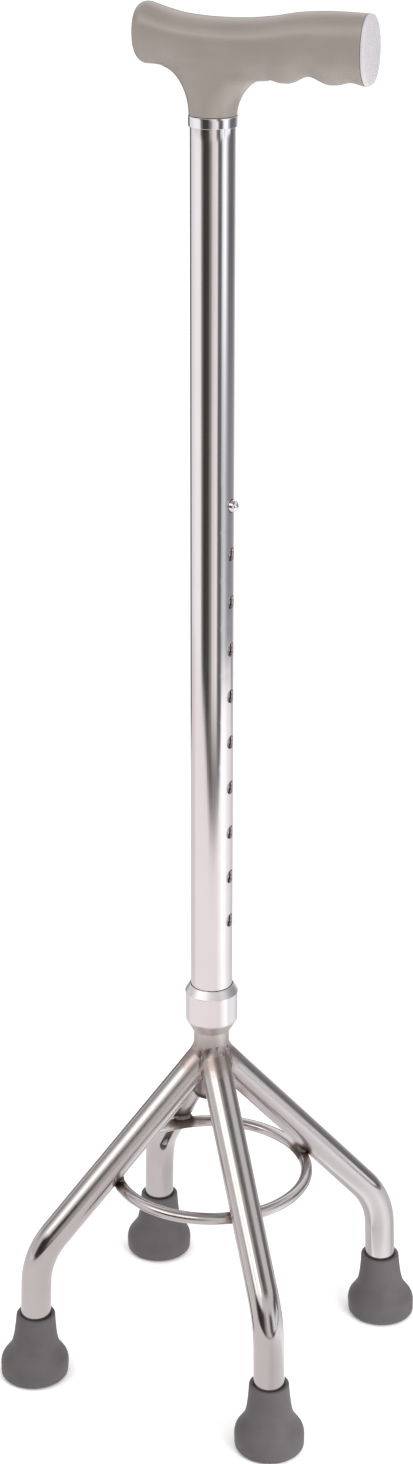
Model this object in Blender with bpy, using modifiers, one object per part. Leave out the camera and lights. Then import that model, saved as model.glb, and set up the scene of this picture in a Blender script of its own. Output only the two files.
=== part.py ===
"""A quad cane: a welded base on four legs, a pole that slides over the base's stem and is held by a
snap button in a row of holes, a locking collar and a moulded grip.

Metres, +Z up. The origin is on the floor, on the pole's axis. The square of the feet has its sides
along X and Y, and the grip's long end and the row of holes are on the +X side.
"""

import math

import bmesh
import bpy
import numpy as np
from mathutils import Matrix, Vector

# Pole, the outer tube
POLE_RADIUS = 0.0111
POLE_WALL = 0.0012
POLE_BOTTOM = 0.206
POLE_TOP = 0.6852
HOLE_COUNT = 10
HOLE_PITCH = 0.0254
HOLE_RADIUS = 0.0035
TOP_HOLE_Z = 0.4937
DRILL_START = 0.006
DRILL_END = 0.014
DRILL_SIDES = 16

# Stem, the inner tube of the base
STEM_RADIUS = 0.0095
STEM_WALL = 0.0012
STEM_BOTTOM = 0.1595
STEM_TOP = 0.515

# Snap button and its leaf spring, inside the stem
BUTTON_RADIUS = 0.0031
BUTTON_TIP = 0.0145
BUTTON_FLANGE_RADIUS = 0.0042
BUTTON_FLANGE = (0.0058, 0.0068)
BUTTON_TAIL_RADIUS = 0.0012
BUTTON_HEAD_RADIUS = 0.002
BUTTON_HEAD = (0.0036, 0.0044)
BUTTON_STEPS = 20
BUTTON_DOME_STEPS = 7
SPRING_THICKNESS = 0.0008
SPRING_WIDTH = 0.008
SPRING_ARM_X = 0.0051
SPRING_BACK_X = -0.0067
SPRING_ARM_TOP = 0.005
SPRING_BACK_TOP = 0.002
SPRING_BEND_DROP = 0.032
SPRING_BEND_STEPS = 9

# Glide in the stem's top end
GLIDE_FLANGE_RADIUS = 0.0096
GLIDE_FLANGE_HEIGHT = 0.003
GLIDE_PLUG_LENGTH = 0.010
GLIDE_BORE = 0.004
GLIDE_CHAMFER = 0.0008

# Locking collar and split bushing
COLLAR_BOTTOM = 0.1988
COLLAR_TOP = 0.2258
COLLAR_RADIUS = 0.0142
COLLAR_TAPER_TOP = 0.2056
COLLAR_CHAMFER_BOTTOM = 0.2214
COLLAR_LIP_RADIUS = 0.0104
COLLAR_RIM_RADIUS = 0.0118
COLLAR_FLAT_COUNT = 8
COLLAR_FLAT_DISTANCE = 0.0138
COLLAR_FLAT_PHASE = math.radians(-58)
COLLAR_FLAT_OVERRUN = 0.002
FLAT_CUT_DEPTH = 0.005
FLAT_CUT_WIDTH = 0.009
COLLAR_STEPS = 48
COLLET_BOTTOM = 0.2005
COLLET_TOP = 0.2056
COLLET_RADII = (0.0103, 0.0110)
COLLET_SLIT = 0.0015
SLIT_CUT = (0.006, 0.020)
SLIT_CUT_X = -0.0105

# Legs. The foot circle is measured on the floor, and the lean is that of the legs' lower runs.
LEG_RADIUS = 0.0083
LEG_WALL = 0.0012
FOOT_CIRCLE_RADIUS = 0.1028
LEG_SLOPE = math.radians(48.5)
LEG_LEAN = math.radians(2.2)
LEG_JOINT_Z = 0.1763
LEG_BEND_RADIUS = 0.044
LEG_BEND_STEPS = 9
LEG_END_Z = 0.0085
LEG_SECTOR_SIDE = 0.3
STEM_CUT = (0.1, 0.25)
LEG_NAMES = ("front_left", "back_left", "back_right", "front_right")
LEG_ANGLES = [math.radians(45 + 90 * k) for k in range(4)]

# Hoop that ties the legs together
RING_RADIUS = 0.0526
RING_WIRE = 0.00325
RING_Z = 0.1112
RING_STEPS = 56
RING_SIDES = 12
HUB_BEAD_RADIUS = 0.0012
HUB_BEAD_LIFT = 0.0002
HUB_BEAD_REACH = math.radians(38)
HUB_BEAD_STEPS = 9
RING_BEAD_SIZE = (0.0024, 0.0054, 0.0024)
RING_BEAD_OUT = 0.0025
RING_BEAD_UP = 0.0034
RING_BEAD_STEPS = (16, 10)

# Rubber feet and the washers in them
FOOT_RADIUS = 0.0186
FOOT_HEIGHT = 0.038
FOOT_FLOOR = 0.006
FOOT_EDGE = 0.0025
FOOT_EDGE_STEPS = 5
FOOT_SIDE = (
    (0.0103, 0.0380),
    (0.0107, 0.0372),
    (0.0113, 0.0300),
    (0.0121, 0.0236),
    (0.0126, 0.0212),
    (0.0132, 0.0190),
    (0.0146, 0.0164),
    (0.0163, 0.0138),
    (0.0179, 0.0114),
    (0.0186, 0.0090),
)
FOOT_STEPS = 28
TREAD_GROOVE = (0.0085, 0.0115)
TREAD_DEPTH = 0.0012
WASHER_RADIUS = 0.0078
WASHER_HOLE = 0.003
WASHER_THICKNESS = 0.0014

# Handle: the grip bar lies along X over the neck. Each line below is a list of (x, height above the
# neck's base) or (x, half width).
NECK_BASE = 0.6859
NECK_RADIUS = 0.0117
GRIP_BACK_END = -0.0412
GRIP_FRONT_END = 0.0803
GRIP_TOP_LINE = (
    (-0.0412, 0.0520),
    (-0.0340, 0.0506),
    (-0.0260, 0.0485),
    (-0.0180, 0.0468),
    (-0.0060, 0.0457),
    (0.0080, 0.0456),
    (0.0200, 0.0462),
    (0.0320, 0.0477),
    (0.0440, 0.0499),
    (0.0580, 0.0512),
    (0.0803, 0.0514),
)
GRIP_BOTTOM_LINE = (
    (-0.0412, 0.0215),
    (-0.0290, 0.0218),
    (0.0, 0.0203),
    (0.0300, 0.0173),
    (0.0400, 0.0171),
    (0.0620, 0.0179),
    (0.0803, 0.0185),
)
GRIP_WIDTH_LINE = (
    (-0.0412, 0.0108),
    (-0.0200, 0.0116),
    (0.0100, 0.0122),
    (0.0400, 0.0122),
    (0.0620, 0.0116),
    (0.0803, 0.0103),
)
FINGER_GROOVES = ((0.0315, 0.0009, 0.0055), (0.0508, 0.0036, 0.0115), (0.0724, 0.0014, 0.0080))
GRIP_ROUNDNESS = 2.3
END_ROUNDING = 0.008
END_ROUNDNESS = 2.6
END_STEPS = 7
END_FIRST_STEP = 0.12
GRIP_STATIONS = 32
GRIP_COLUMNS = 24
NECK_ROWS = 13
NECK_FLARE_FRONT = (0.0175, 0.0183)
NECK_FLARE_BACK = (0.0182, 0.0220)
NECK_FLARE_TOP = 0.0275
FLARE_LIMIT = 0.985
CORE_RADIUS = 0.0096
CORE_BOTTOM = 0.640
CORE_NECK_RADIUS = 0.0070
CORE_TOP = 0.708
CORE_BORE = 0.0045
CORE_STEP_DROP = 0.001
CORE_LEAD_IN = (0.001, 0.002)
CAP_THICKNESS = 0.0020
CAP_EDGE = 0.00002
CAP_OVERLAP = 1.0
CAP_CROWN = ((0.4, 0.985), (0.7, 0.94), (0.9, 0.80), (1.0, 0.50))
CAP_PLUG_SCALE = 0.72
CAP_PLUG_LENGTH = 0.010
CAP_POCKET_SCALE = 0.75
CAP_POCKET_DEPTH = 0.012
FERRULE_RADIUS = 0.0122
FERRULE_BOTTOM = 0.6805
FERRULE_TOP = 0.6856
FERRULE_BEVEL = 0.0005

# Clearance between pieces that touch, and the fineness of round shapes
GAP = 0.0003
OVERRUN = 0.010
TURNED_STEPS = 32
TUBE_SIDES = 20
MERGE = 0.00001
SHARP_ANGLE = math.radians(35)

FINISHES = {
    "polished_steel": ((0.80, 0.78, 0.78), 0.10, 1.0),
    "satin_steel": ((0.62, 0.59, 0.58), 0.35, 1.0),
    "chrome": ((0.86, 0.86, 0.88), 0.06, 1.0),
    "weld": ((0.34, 0.27, 0.24), 0.5, 0.9),
    "spring_steel": ((0.45, 0.45, 0.47), 0.35, 1.0),
    "taupe_plastic": ((0.33, 0.29, 0.265), 0.38, 0.0),
    "pale_plastic": ((0.52, 0.50, 0.53), 0.40, 0.0),
    "white_nylon": ((0.78, 0.77, 0.73), 0.5, 0.0),
    "grey_rubber": ((0.125, 0.118, 0.118), 0.75, 0.0),
}


def clear_scene():
    for obj in list(bpy.data.objects):
        bpy.data.objects.remove(obj)


def new_collection(name):
    made = bpy.data.collections.new(name)
    bpy.context.scene.collection.children.link(made)
    return made


def new_material(name):
    colour, roughness, metallic = FINISHES[name]
    made = bpy.data.materials.new(name)
    made.use_nodes = True
    shader = made.node_tree.nodes["Principled BSDF"]
    shader.inputs["Base Color"].default_value = (*colour, 1.0)
    shader.inputs["Roughness"].default_value = roughness
    shader.inputs["Metallic"].default_value = metallic
    return made


def add_object(name, mesh, collection, finish=None):
    """An object for the mesh, shaded smooth except over sharp edges."""
    obj = bpy.data.objects.new(name, mesh)
    collection.objects.link(obj)
    if finish:
        mesh.materials.clear()
        mesh.materials.append(finish)
    mesh.shade_smooth()
    mesh.set_sharp_from_angle(angle=SHARP_ANGLE)
    return obj


def as_cutter(obj):
    obj.hide_render = True
    obj.display_type = "WIRE"
    return obj


def evaluated_mesh(obj):
    """The object's mesh with its modifiers in it, in the object's own space. Doubles at caps are merged."""
    graph = bpy.context.evaluated_depsgraph_get()
    mesh = bpy.data.meshes.new_from_object(obj.evaluated_get(graph), depsgraph=graph)
    made = bmesh.new()
    made.from_mesh(mesh)
    bmesh.ops.remove_doubles(made, verts=made.verts, dist=MERGE)
    made.to_mesh(mesh)
    made.free()
    return mesh


def baked(obj, name, collection, finish=None):
    """A new object with the evaluated mesh of obj, which is removed."""
    mesh = evaluated_mesh(obj)
    mesh.transform(obj.matrix_world)
    bpy.data.objects.remove(obj)
    return add_object(name, mesh, collection, finish)


def boolean(obj, other, operation="DIFFERENCE"):
    modifier = obj.modifiers.new(other.name, "BOOLEAN")
    modifier.operation = operation
    modifier.object = other


def turned(name, profile, collection, finish=None, steps=TURNED_STEPS):
    """The profile turned round Z. It is a list of (radius, height). An open profile starts and ends on
    the axis, and a closed one is given without its first point again. Both go down the outer side."""
    closed = profile[0][0] > 0
    points = [(r, 0.0, z) for r, z in profile]
    edges = [(k, k + 1) for k in range(len(points) - 1)]
    if closed:
        edges.append((len(points) - 1, 0))
    mesh = bpy.data.meshes.new(name)
    mesh.from_pydata(points, edges, [])
    obj = bpy.data.objects.new(name, mesh)
    collection.objects.link(obj)
    screw = obj.modifiers.new("turn", "SCREW")
    screw.steps = steps
    screw.render_steps = steps
    screw.use_merge_vertices = True
    screw.merge_threshold = MERGE
    return baked(obj, name, collection, finish)


def tube_profile(outer, wall, bottom, top):
    """A plain tube's closed profile."""
    return [(outer, top), (outer, bottom), (outer - wall, bottom), (outer - wall, top)]


def swept(name, points, radius, collection, sides=TUBE_SIDES, closed=False):
    """A round rod of this radius along the points. The curve's bevel has 2 sides more per resolution
    step than the 4 that it starts with."""
    curve = bpy.data.curves.new(name, "CURVE")
    curve.dimensions = "3D"
    curve.bevel_depth = radius
    curve.bevel_resolution = sides // 2 - 2
    curve.use_fill_caps = not closed
    spline = curve.splines.new("POLY")
    spline.points.add(len(points) - 1)
    spline.points.foreach_set("co", np.c_[points, np.ones(len(points))].ravel())
    spline.use_cyclic_u = closed
    obj = bpy.data.objects.new(name, curve)
    collection.objects.link(obj)
    return baked(obj, name, collection)


def drilling(name, radius, start, end, collection, sides=TURNED_STEPS):
    """A cylinder from start to end, for drilling a hole."""
    start, end = Vector(start), Vector(end)
    made = bmesh.new()
    bmesh.ops.create_cone(
        made,
        cap_ends=True,
        segments=sides,
        radius1=radius,
        radius2=radius,
        depth=(end - start).length,
    )
    turn = (end - start).to_track_quat("Z", "Y").to_matrix().to_4x4()
    made.transform(Matrix.Translation((start + end) / 2) @ turn)
    mesh = bpy.data.meshes.new(name)
    made.to_mesh(mesh)
    made.free()
    return as_cutter(add_object(name, mesh, collection))


def block(name, size, place, collection):
    """A box of this size with its middle at this place."""
    made = bmesh.new()
    bmesh.ops.create_cube(made, size=1.0)
    made.transform(Matrix.Translation(place) @ Matrix.Diagonal((*size, 1.0)))
    mesh = bpy.data.meshes.new(name)
    made.to_mesh(mesh)
    made.free()
    return as_cutter(add_object(name, mesh, collection))


def round_the_base(name, mesh, collection, finish):
    """An object for each leg that shares the mesh, turned to the leg's angle."""
    for leg, angle in zip(LEG_NAMES, LEG_ANGLES):
        copy = add_object(f"{name}_{leg}", mesh, collection, finish)
        copy.rotation_euler = (0, 0, angle)


def smooth_line(knots, x):
    """The value at x of a smooth line through the knots: cubic pieces, with np.gradient's slopes."""
    at, value = np.array(knots).T
    slope = np.gradient(value, at)
    k = np.clip(np.searchsorted(at, x) - 1, 0, len(at) - 2)
    width = at[k + 1] - at[k]
    t = (x - at[k]) / width
    near = (1 + 2 * t) * (1 - t) ** 2 * value[k] + t * (1 - t) ** 2 * width * slope[k]
    far = t * t * (3 - 2 * t) * value[k + 1] + t * t * (t - 1) * width * slope[k + 1]
    return near + far


def loft(name, sections, collection):
    """A closed skin over the sections, an array of sections by points by 3, with flat ends."""
    rows, columns = sections.shape[:2]
    faces = []
    for r in range(rows - 1):
        for c in range(columns):
            d = (c + 1) % columns
            a, b = r * columns, (r + 1) * columns
            faces.append((a + c, a + d, b + d, b + c))
    faces.append(tuple(range(columns))[::-1])
    faces.append(tuple(range((rows - 1) * columns, rows * columns)))
    mesh = bpy.data.meshes.new(name)
    mesh.from_pydata(sections.reshape(-1, 3).tolist(), [], faces)
    made = bmesh.new()
    made.from_mesh(mesh)
    bmesh.ops.recalc_face_normals(made, faces=made.faces)
    made.to_mesh(mesh)
    made.free()
    return add_object(name, mesh, collection)


def oval(columns, roundness):
    """Points round a superellipse with half axes of 1: the signed power 2 / roundness of the cosine and
    the sine."""
    angle = np.linspace(0, 2 * np.pi, columns, endpoint=False) + np.pi / columns
    c, s = np.cos(angle), np.sin(angle)
    power = 2 / roundness
    return np.sign(c) * np.abs(c) ** power, np.sign(s) * np.abs(s) ** power


def bar_sections(stations, columns):
    """The grip bar's cross sections at these x: ovals between its top and bottom lines, with the finger
    grooves in the bottom line, drawn in over the rounding at the back end."""
    top = NECK_BASE + smooth_line(GRIP_TOP_LINE, stations)
    bottom = NECK_BASE + smooth_line(GRIP_BOTTOM_LINE, stations)
    for middle, depth, half_length in FINGER_GROOVES:
        t = np.clip((stations - middle) / half_length, -1, 1)
        bottom = bottom + depth * np.cos(t * np.pi / 2) ** 2
    half_width = smooth_line(GRIP_WIDTH_LINE, stations)
    from_end = np.clip((GRIP_BACK_END + END_ROUNDING - stations) / END_ROUNDING, 0, 1)
    drawn_in = (1 - from_end**END_ROUNDNESS) ** (1 / END_ROUNDNESS)
    y, z = oval(columns, GRIP_ROUNDNESS)
    sections = np.empty((len(stations), columns, 3))
    sections[..., 0] = stations[:, None]
    sections[..., 1] = (half_width * drawn_in)[:, None] * y
    half_height = (top - bottom) / 2 * drawn_in
    sections[..., 2] = ((top + bottom) / 2)[:, None] + half_height[:, None] * z
    return sections


def neck_sections(columns, rows):
    """The neck's level sections from its base up into the bar. Its front and back sides follow quarter
    ellipses that open out under the bar."""
    rise = np.linspace(0, NECK_FLARE_TOP, rows)
    reach = []
    for outward, upward in (NECK_FLARE_FRONT, NECK_FLARE_BACK):
        t = np.clip(rise / upward, 0, FLARE_LIMIT)
        reach.append(NECK_RADIUS + outward * (1 - np.sqrt(1 - t * t)))
    front, back = reach
    x, y = oval(columns, 2.0)
    sections = np.empty((rows, columns, 3))
    middle, half_length = (front - back) / 2, (front + back) / 2
    sections[..., 0] = middle[:, None] + half_length[:, None] * x
    sections[..., 1] = NECK_RADIUS * y
    sections[..., 2] = NECK_BASE + rise[:, None]
    return sections


def leg_path():
    """The leg's centre line in the XZ plane, from inside the stem down to its end in the foot. The
    slanted run and the leaning lower one meet in a bend of LEG_BEND_RADIUS."""
    slope, lean = math.tan(LEG_SLOPE), math.tan(LEG_LEAN)
    corner_z = (LEG_JOINT_Z - (FOOT_CIRCLE_RADIUS - STEM_RADIUS) * slope) / (1 - lean * slope)
    corner = np.array([FOOT_CIRCLE_RADIUS - corner_z * lean, corner_z])
    first = math.pi / 2 - LEG_SLOPE
    tangent = LEG_BEND_RADIUS * math.tan((first - LEG_LEAN) / 2)
    down_leg = np.array([math.cos(LEG_SLOPE), -math.sin(LEG_SLOPE)])
    over_leg = np.array([math.sin(LEG_SLOPE), math.cos(LEG_SLOPE)])
    centre = corner - tangent * down_leg - LEG_BEND_RADIUS * over_leg
    angles = np.linspace(first, LEG_LEAN, LEG_BEND_STEPS)
    bend = centre + LEG_BEND_RADIUS * np.c_[np.cos(angles), np.sin(angles)]
    start = np.array([0.0, LEG_JOINT_Z + STEM_RADIUS * slope])
    flat = np.vstack([start, bend, [FOOT_CIRCLE_RADIUS - LEG_END_Z * lean, LEG_END_Z]])
    return np.c_[flat[:, 0], np.zeros(len(flat)), flat[:, 1]]


def build_pole(parts, cutters, finish):
    pole = turned(
        "pole_tube",
        tube_profile(POLE_RADIUS, POLE_WALL, POLE_BOTTOM, POLE_TOP),
        parts,
        finish["polished_steel"],
    )
    for k in range(HOLE_COUNT):
        z = TOP_HOLE_Z - k * HOLE_PITCH
        ends = (DRILL_START, 0, z), (DRILL_END, 0, z)
        boolean(pole, drilling(f"pin_hole_{k}", HOLE_RADIUS, *ends, cutters, DRILL_SIDES))


def build_stem(parts, cutters, finish):
    stem = turned(
        "stem_tube",
        tube_profile(STEM_RADIUS, STEM_WALL, STEM_BOTTOM, STEM_TOP),
        parts,
        finish["satin_steel"],
    )
    ends = (DRILL_START, 0, TOP_HOLE_Z), (DRILL_END, 0, TOP_HOLE_Z)
    boolean(stem, drilling("button_hole", BUTTON_RADIUS + GAP, *ends, cutters, DRILL_SIDES))
    bore = STEM_RADIUS - STEM_WALL - GAP
    shelf = STEM_TOP + GAP
    profile = [
        (GLIDE_BORE, shelf + GLIDE_FLANGE_HEIGHT),
        (GLIDE_FLANGE_RADIUS - GLIDE_CHAMFER, shelf + GLIDE_FLANGE_HEIGHT),
        (GLIDE_FLANGE_RADIUS, shelf + GLIDE_FLANGE_HEIGHT - GLIDE_CHAMFER),
        (GLIDE_FLANGE_RADIUS, shelf),
        (bore, shelf),
        (bore, STEM_TOP - GLIDE_PLUG_LENGTH),
        (GLIDE_BORE, STEM_TOP - GLIDE_PLUG_LENGTH),
    ]
    turned("stem_top_glide", profile, parts, finish["white_nylon"])


def build_button(parts, cutters, finish):
    """The button is turned along Z, tip up, and laid over to point along +X at the top hole."""
    centre = BUTTON_TIP - BUTTON_RADIUS
    dome = [
        (BUTTON_RADIUS * math.sin(a), centre + BUTTON_RADIUS * math.cos(a))
        for a in np.linspace(0, math.pi / 2, BUTTON_DOME_STEPS)
    ]
    profile = [
        *dome,
        (BUTTON_RADIUS, BUTTON_FLANGE[1]),
        (BUTTON_FLANGE_RADIUS, BUTTON_FLANGE[1]),
        (BUTTON_FLANGE_RADIUS, BUTTON_FLANGE[0]),
        (BUTTON_TAIL_RADIUS, BUTTON_FLANGE[0]),
        (BUTTON_TAIL_RADIUS, BUTTON_HEAD[1]),
        (BUTTON_HEAD_RADIUS, BUTTON_HEAD[1]),
        (BUTTON_HEAD_RADIUS, BUTTON_HEAD[0]),
        (0.0, BUTTON_HEAD[0]),
    ]
    profile[0] = (0.0, BUTTON_TIP)
    button = turned("snap_button", profile, parts, finish["chrome"], BUTTON_STEPS)
    button.rotation_euler = (0, math.pi / 2, 0)
    button.location = (0, 0, TOP_HOLE_Z)

    # The leaf is a V: up behind the button, round a bend at the bottom and up the stem's back wall
    low = TOP_HOLE_Z - SPRING_BEND_DROP
    middle = (SPRING_ARM_X + SPRING_BACK_X) / 2
    half = (SPRING_ARM_X - SPRING_BACK_X) / 2
    bend = [
        (middle + half * math.cos(a), low - half * math.sin(a))
        for a in np.linspace(0, math.pi, SPRING_BEND_STEPS)
    ]
    line = [
        (SPRING_ARM_X, TOP_HOLE_Z + SPRING_ARM_TOP),
        *bend,
        (SPRING_BACK_X, TOP_HOLE_Z + SPRING_BACK_TOP),
    ]
    strip = bmesh.new()
    rows = [
        [strip.verts.new((x, side * SPRING_WIDTH / 2, z)) for side in (-1, 1)] for x, z in line
    ]
    for here, there in zip(rows, rows[1:]):
        strip.faces.new((here[0], here[1], there[1], there[0]))
    mesh = bpy.data.meshes.new("leaf")
    strip.to_mesh(mesh)
    strip.free()
    leaf = add_object("leaf", mesh, parts)
    solid = leaf.modifiers.new("thickness", "SOLIDIFY")
    solid.thickness = SPRING_THICKNESS
    solid.offset = 0
    spring = baked(leaf, "snap_spring", parts, finish["spring_steel"])
    ends = (0, 0, TOP_HOLE_Z), (DRILL_END, 0, TOP_HOLE_Z)
    boolean(spring, drilling("tail_hole", BUTTON_TAIL_RADIUS + GAP, *ends, cutters, DRILL_SIDES))


def build_collar(parts, cutters, finish):
    bore = POLE_RADIUS + GAP
    lip_bore = STEM_RADIUS + GAP
    seat = COLLET_BOTTOM - GAP
    profile = [
        (bore, COLLAR_TOP),
        (COLLAR_RIM_RADIUS, COLLAR_TOP),
        (COLLAR_RADIUS, COLLAR_CHAMFER_BOTTOM),
        (COLLAR_RADIUS, COLLAR_TAPER_TOP),
        (COLLAR_LIP_RADIUS, COLLAR_BOTTOM),
        (lip_bore, COLLAR_BOTTOM),
        (lip_bore, seat),
        (COLLET_RADII[0] + GAP, seat),
        (COLLET_RADII[1] + GAP, COLLET_TOP),
        (bore, COLLET_TOP),
    ]
    collar = turned("lock_collar", profile, parts, finish["polished_steel"], COLLAR_STEPS)
    # Each flat is planed off by a block, from just under the top chamfer down past the taper
    height = COLLAR_CHAMFER_BOTTOM - COLLAR_BOTTOM + COLLAR_FLAT_OVERRUN
    size = (FLAT_CUT_DEPTH, FLAT_CUT_WIDTH, height)
    out = COLLAR_FLAT_DISTANCE + FLAT_CUT_DEPTH / 2
    for k in range(COLLAR_FLAT_COUNT):
        angle = COLLAR_FLAT_PHASE + k * 2 * math.pi / COLLAR_FLAT_COUNT
        plane = block(f"flat_{k}", size, (out, 0, COLLAR_CHAMFER_BOTTOM - height / 2), cutters)
        plane.rotation_euler = (0, 0, angle)
        boolean(collar, plane)

    profile = [
        (COLLET_RADII[1], COLLET_TOP),
        (COLLET_RADII[0], COLLET_BOTTOM),
        (STEM_RADIUS + GAP, COLLET_BOTTOM),
        (STEM_RADIUS + GAP, COLLET_TOP),
    ]
    collet = turned("collet", profile, parts, finish["white_nylon"], COLLAR_STEPS)
    size = (SLIT_CUT[0], COLLET_SLIT, SLIT_CUT[1])
    boolean(collet, block("collet_slit", size, (SLIT_CUT_X, 0, COLLET_TOP), cutters))


def build_legs(parts, cutters, finish):
    """One leg is made along +X and shared by four objects. Its bore is open at both ends, its upper
    end is coped round the stem, and the sector keeps it clear of the legs next to it."""
    path = leg_path()
    outer = swept("leg_solid", path, LEG_RADIUS, cutters)
    bore_path = path.copy()
    bore_path[-1] += OVERRUN * np.array([math.sin(LEG_LEAN), 0, -math.cos(LEG_LEAN)])
    boolean(outer, as_cutter(swept("leg_bore", bore_path, LEG_RADIUS - LEG_WALL, cutters)))
    ends = (0, 0, STEM_CUT[0]), (0, 0, STEM_CUT[1])
    boolean(outer, drilling("stem_cope", STEM_RADIUS + GAP, *ends, cutters))
    side = LEG_SECTOR_SIDE
    sector = block("leg_sector", (side, side, side), (side / 2, side / 2, 0), cutters)
    sector.rotation_euler = (0, 0, math.radians(-45))
    sector.location = (GAP, 0, LEG_JOINT_Z)
    boolean(outer, sector, "INTERSECT")
    bpy.context.view_layer.update()
    mesh = evaluated_mesh(outer)
    as_cutter(outer)
    round_the_base("leg", mesh, parts, finish["polished_steel"])


def build_hub_welds(parts, cutters, finish):
    """A fillet follows the upper part of the line where a leg meets the stem, and keeps clear of
    both."""
    along = Vector((math.cos(LEG_SLOPE), 0, -math.sin(LEG_SLOPE)))
    up = Vector((math.sin(LEG_SLOPE), 0, math.cos(LEG_SLOPE)))
    start = Vector((0, 0, LEG_JOINT_Z + STEM_RADIUS * math.tan(LEG_SLOPE)))
    leg_radius, stem_radius = LEG_RADIUS + HUB_BEAD_LIFT, STEM_RADIUS + HUB_BEAD_LIFT
    points = []
    for a in np.linspace(-HUB_BEAD_REACH, HUB_BEAD_REACH, HUB_BEAD_STEPS):
        side = leg_radius * math.sin(a)
        lifted = start + up * (leg_radius * math.cos(a))
        distance = (math.sqrt(stem_radius**2 - side**2) - lifted.x) / along.x
        place = lifted + along * distance
        points.append((place.x, side, place.z))
    bead = swept("hub_bead", np.array(points), HUB_BEAD_RADIUS, cutters, RING_SIDES)
    ends = (0, 0, STEM_CUT[0]), (0, 0, STEM_CUT[1])
    boolean(bead, drilling("bead_stem", STEM_RADIUS + GAP, *ends, cutters))
    boolean(bead, as_cutter(swept("bead_leg", leg_path(), LEG_RADIUS + GAP, cutters)))
    bpy.context.view_layer.update()
    mesh = evaluated_mesh(bead)
    as_cutter(bead)
    round_the_base("hub_weld", mesh, parts, finish["weld"])


def build_ring(parts, cutters, finish):
    """The hoop rests against the legs' inner sides, where each leg leaves a shallow seat in it. A lump
    of weld sits over each seat."""
    turn = np.linspace(0, 2 * np.pi, RING_STEPS, endpoint=False)
    circle = RING_RADIUS * np.c_[np.cos(turn), np.sin(turn), np.zeros(RING_STEPS)]
    circle[:, 2] = RING_Z
    ring = swept("base_ring", circle, RING_WIRE, parts, RING_SIDES, closed=True)
    ring.data.materials.append(finish["polished_steel"])
    seat = swept("leg_seat", leg_path(), LEG_RADIUS + GAP, cutters)
    for k, angle in enumerate(LEG_ANGLES):
        copy = as_cutter(add_object(f"leg_seat_{k}", seat.data, cutters))
        copy.rotation_euler = (0, 0, angle)
        boolean(ring, copy)

    # The bead is a ball drawn out along the hoop, in the corner over it on the leg's inner side
    down = Vector((math.cos(LEG_SLOPE), 0, -math.sin(LEG_SLOPE)))
    out = Vector((math.sin(LEG_SLOPE), 0, math.cos(LEG_SLOPE)))
    place = Vector((RING_RADIUS, 0, RING_Z)) + out * RING_BEAD_OUT - down * RING_BEAD_UP
    made = bmesh.new()
    around, up_and_down = RING_BEAD_STEPS
    bmesh.ops.create_uvsphere(made, u_segments=around, v_segments=up_and_down, radius=1.0)
    made.transform(Matrix.Translation(place) @ Matrix.Diagonal((*RING_BEAD_SIZE, 1.0)))
    mesh = bpy.data.meshes.new("ring_bead")
    made.to_mesh(mesh)
    made.free()
    bead = as_cutter(add_object("ring_bead", mesh, cutters))
    boolean(bead, as_cutter(seat))
    clearance = swept("hoop_clearance", circle, RING_WIRE + GAP, cutters, RING_SIDES, closed=True)
    boolean(bead, as_cutter(clearance))
    bpy.context.view_layer.update()
    round_the_base("ring_weld", evaluated_mesh(bead), parts, finish["weld"])


def build_feet(parts, finish):
    """A rubber foot is turned: flat sole with a round groove, straight wall, shoulder and sleeve. Foot
    and washer are then sheared out to the leg's end, so that they follow its lean and stay level."""
    edge = [
        (
            FOOT_RADIUS - FOOT_EDGE * (1 - math.cos(a)),
            FOOT_EDGE * (1 - math.sin(a)),
        )
        for a in np.linspace(0, math.pi / 2, FOOT_EDGE_STEPS)
    ]
    bore = LEG_RADIUS + GAP
    profile = [
        (0.0, FOOT_FLOOR),
        (bore, FOOT_FLOOR),
        (bore, FOOT_HEIGHT),
        *FOOT_SIDE,
        *edge,
        (TREAD_GROOVE[1], 0.0),
        (TREAD_GROOVE[1], TREAD_DEPTH),
        (TREAD_GROOVE[0], TREAD_DEPTH),
        (TREAD_GROOVE[0], 0.0),
        (0.0, 0.0),
    ]
    foot = turned("foot", profile, parts, None, FOOT_STEPS)
    washer_bottom = FOOT_FLOOR + GAP
    flat = tube_profile(
        WASHER_RADIUS, WASHER_RADIUS - WASHER_HOLE, washer_bottom, washer_bottom + WASHER_THICKNESS
    )
    washer = turned("washer", flat, parts, None, FOOT_STEPS)
    out_to_leg = Matrix.Translation((FOOT_CIRCLE_RADIUS, 0, 0))
    out_to_leg[0][2] = -math.tan(LEG_LEAN)
    for name, shape, slot in (("foot", foot, "grey_rubber"), ("washer", washer, "satin_steel")):
        shape.data.transform(out_to_leg)
        round_the_base(name, shape.data, parts, finish[slot])
        bpy.data.objects.remove(shape)


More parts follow.
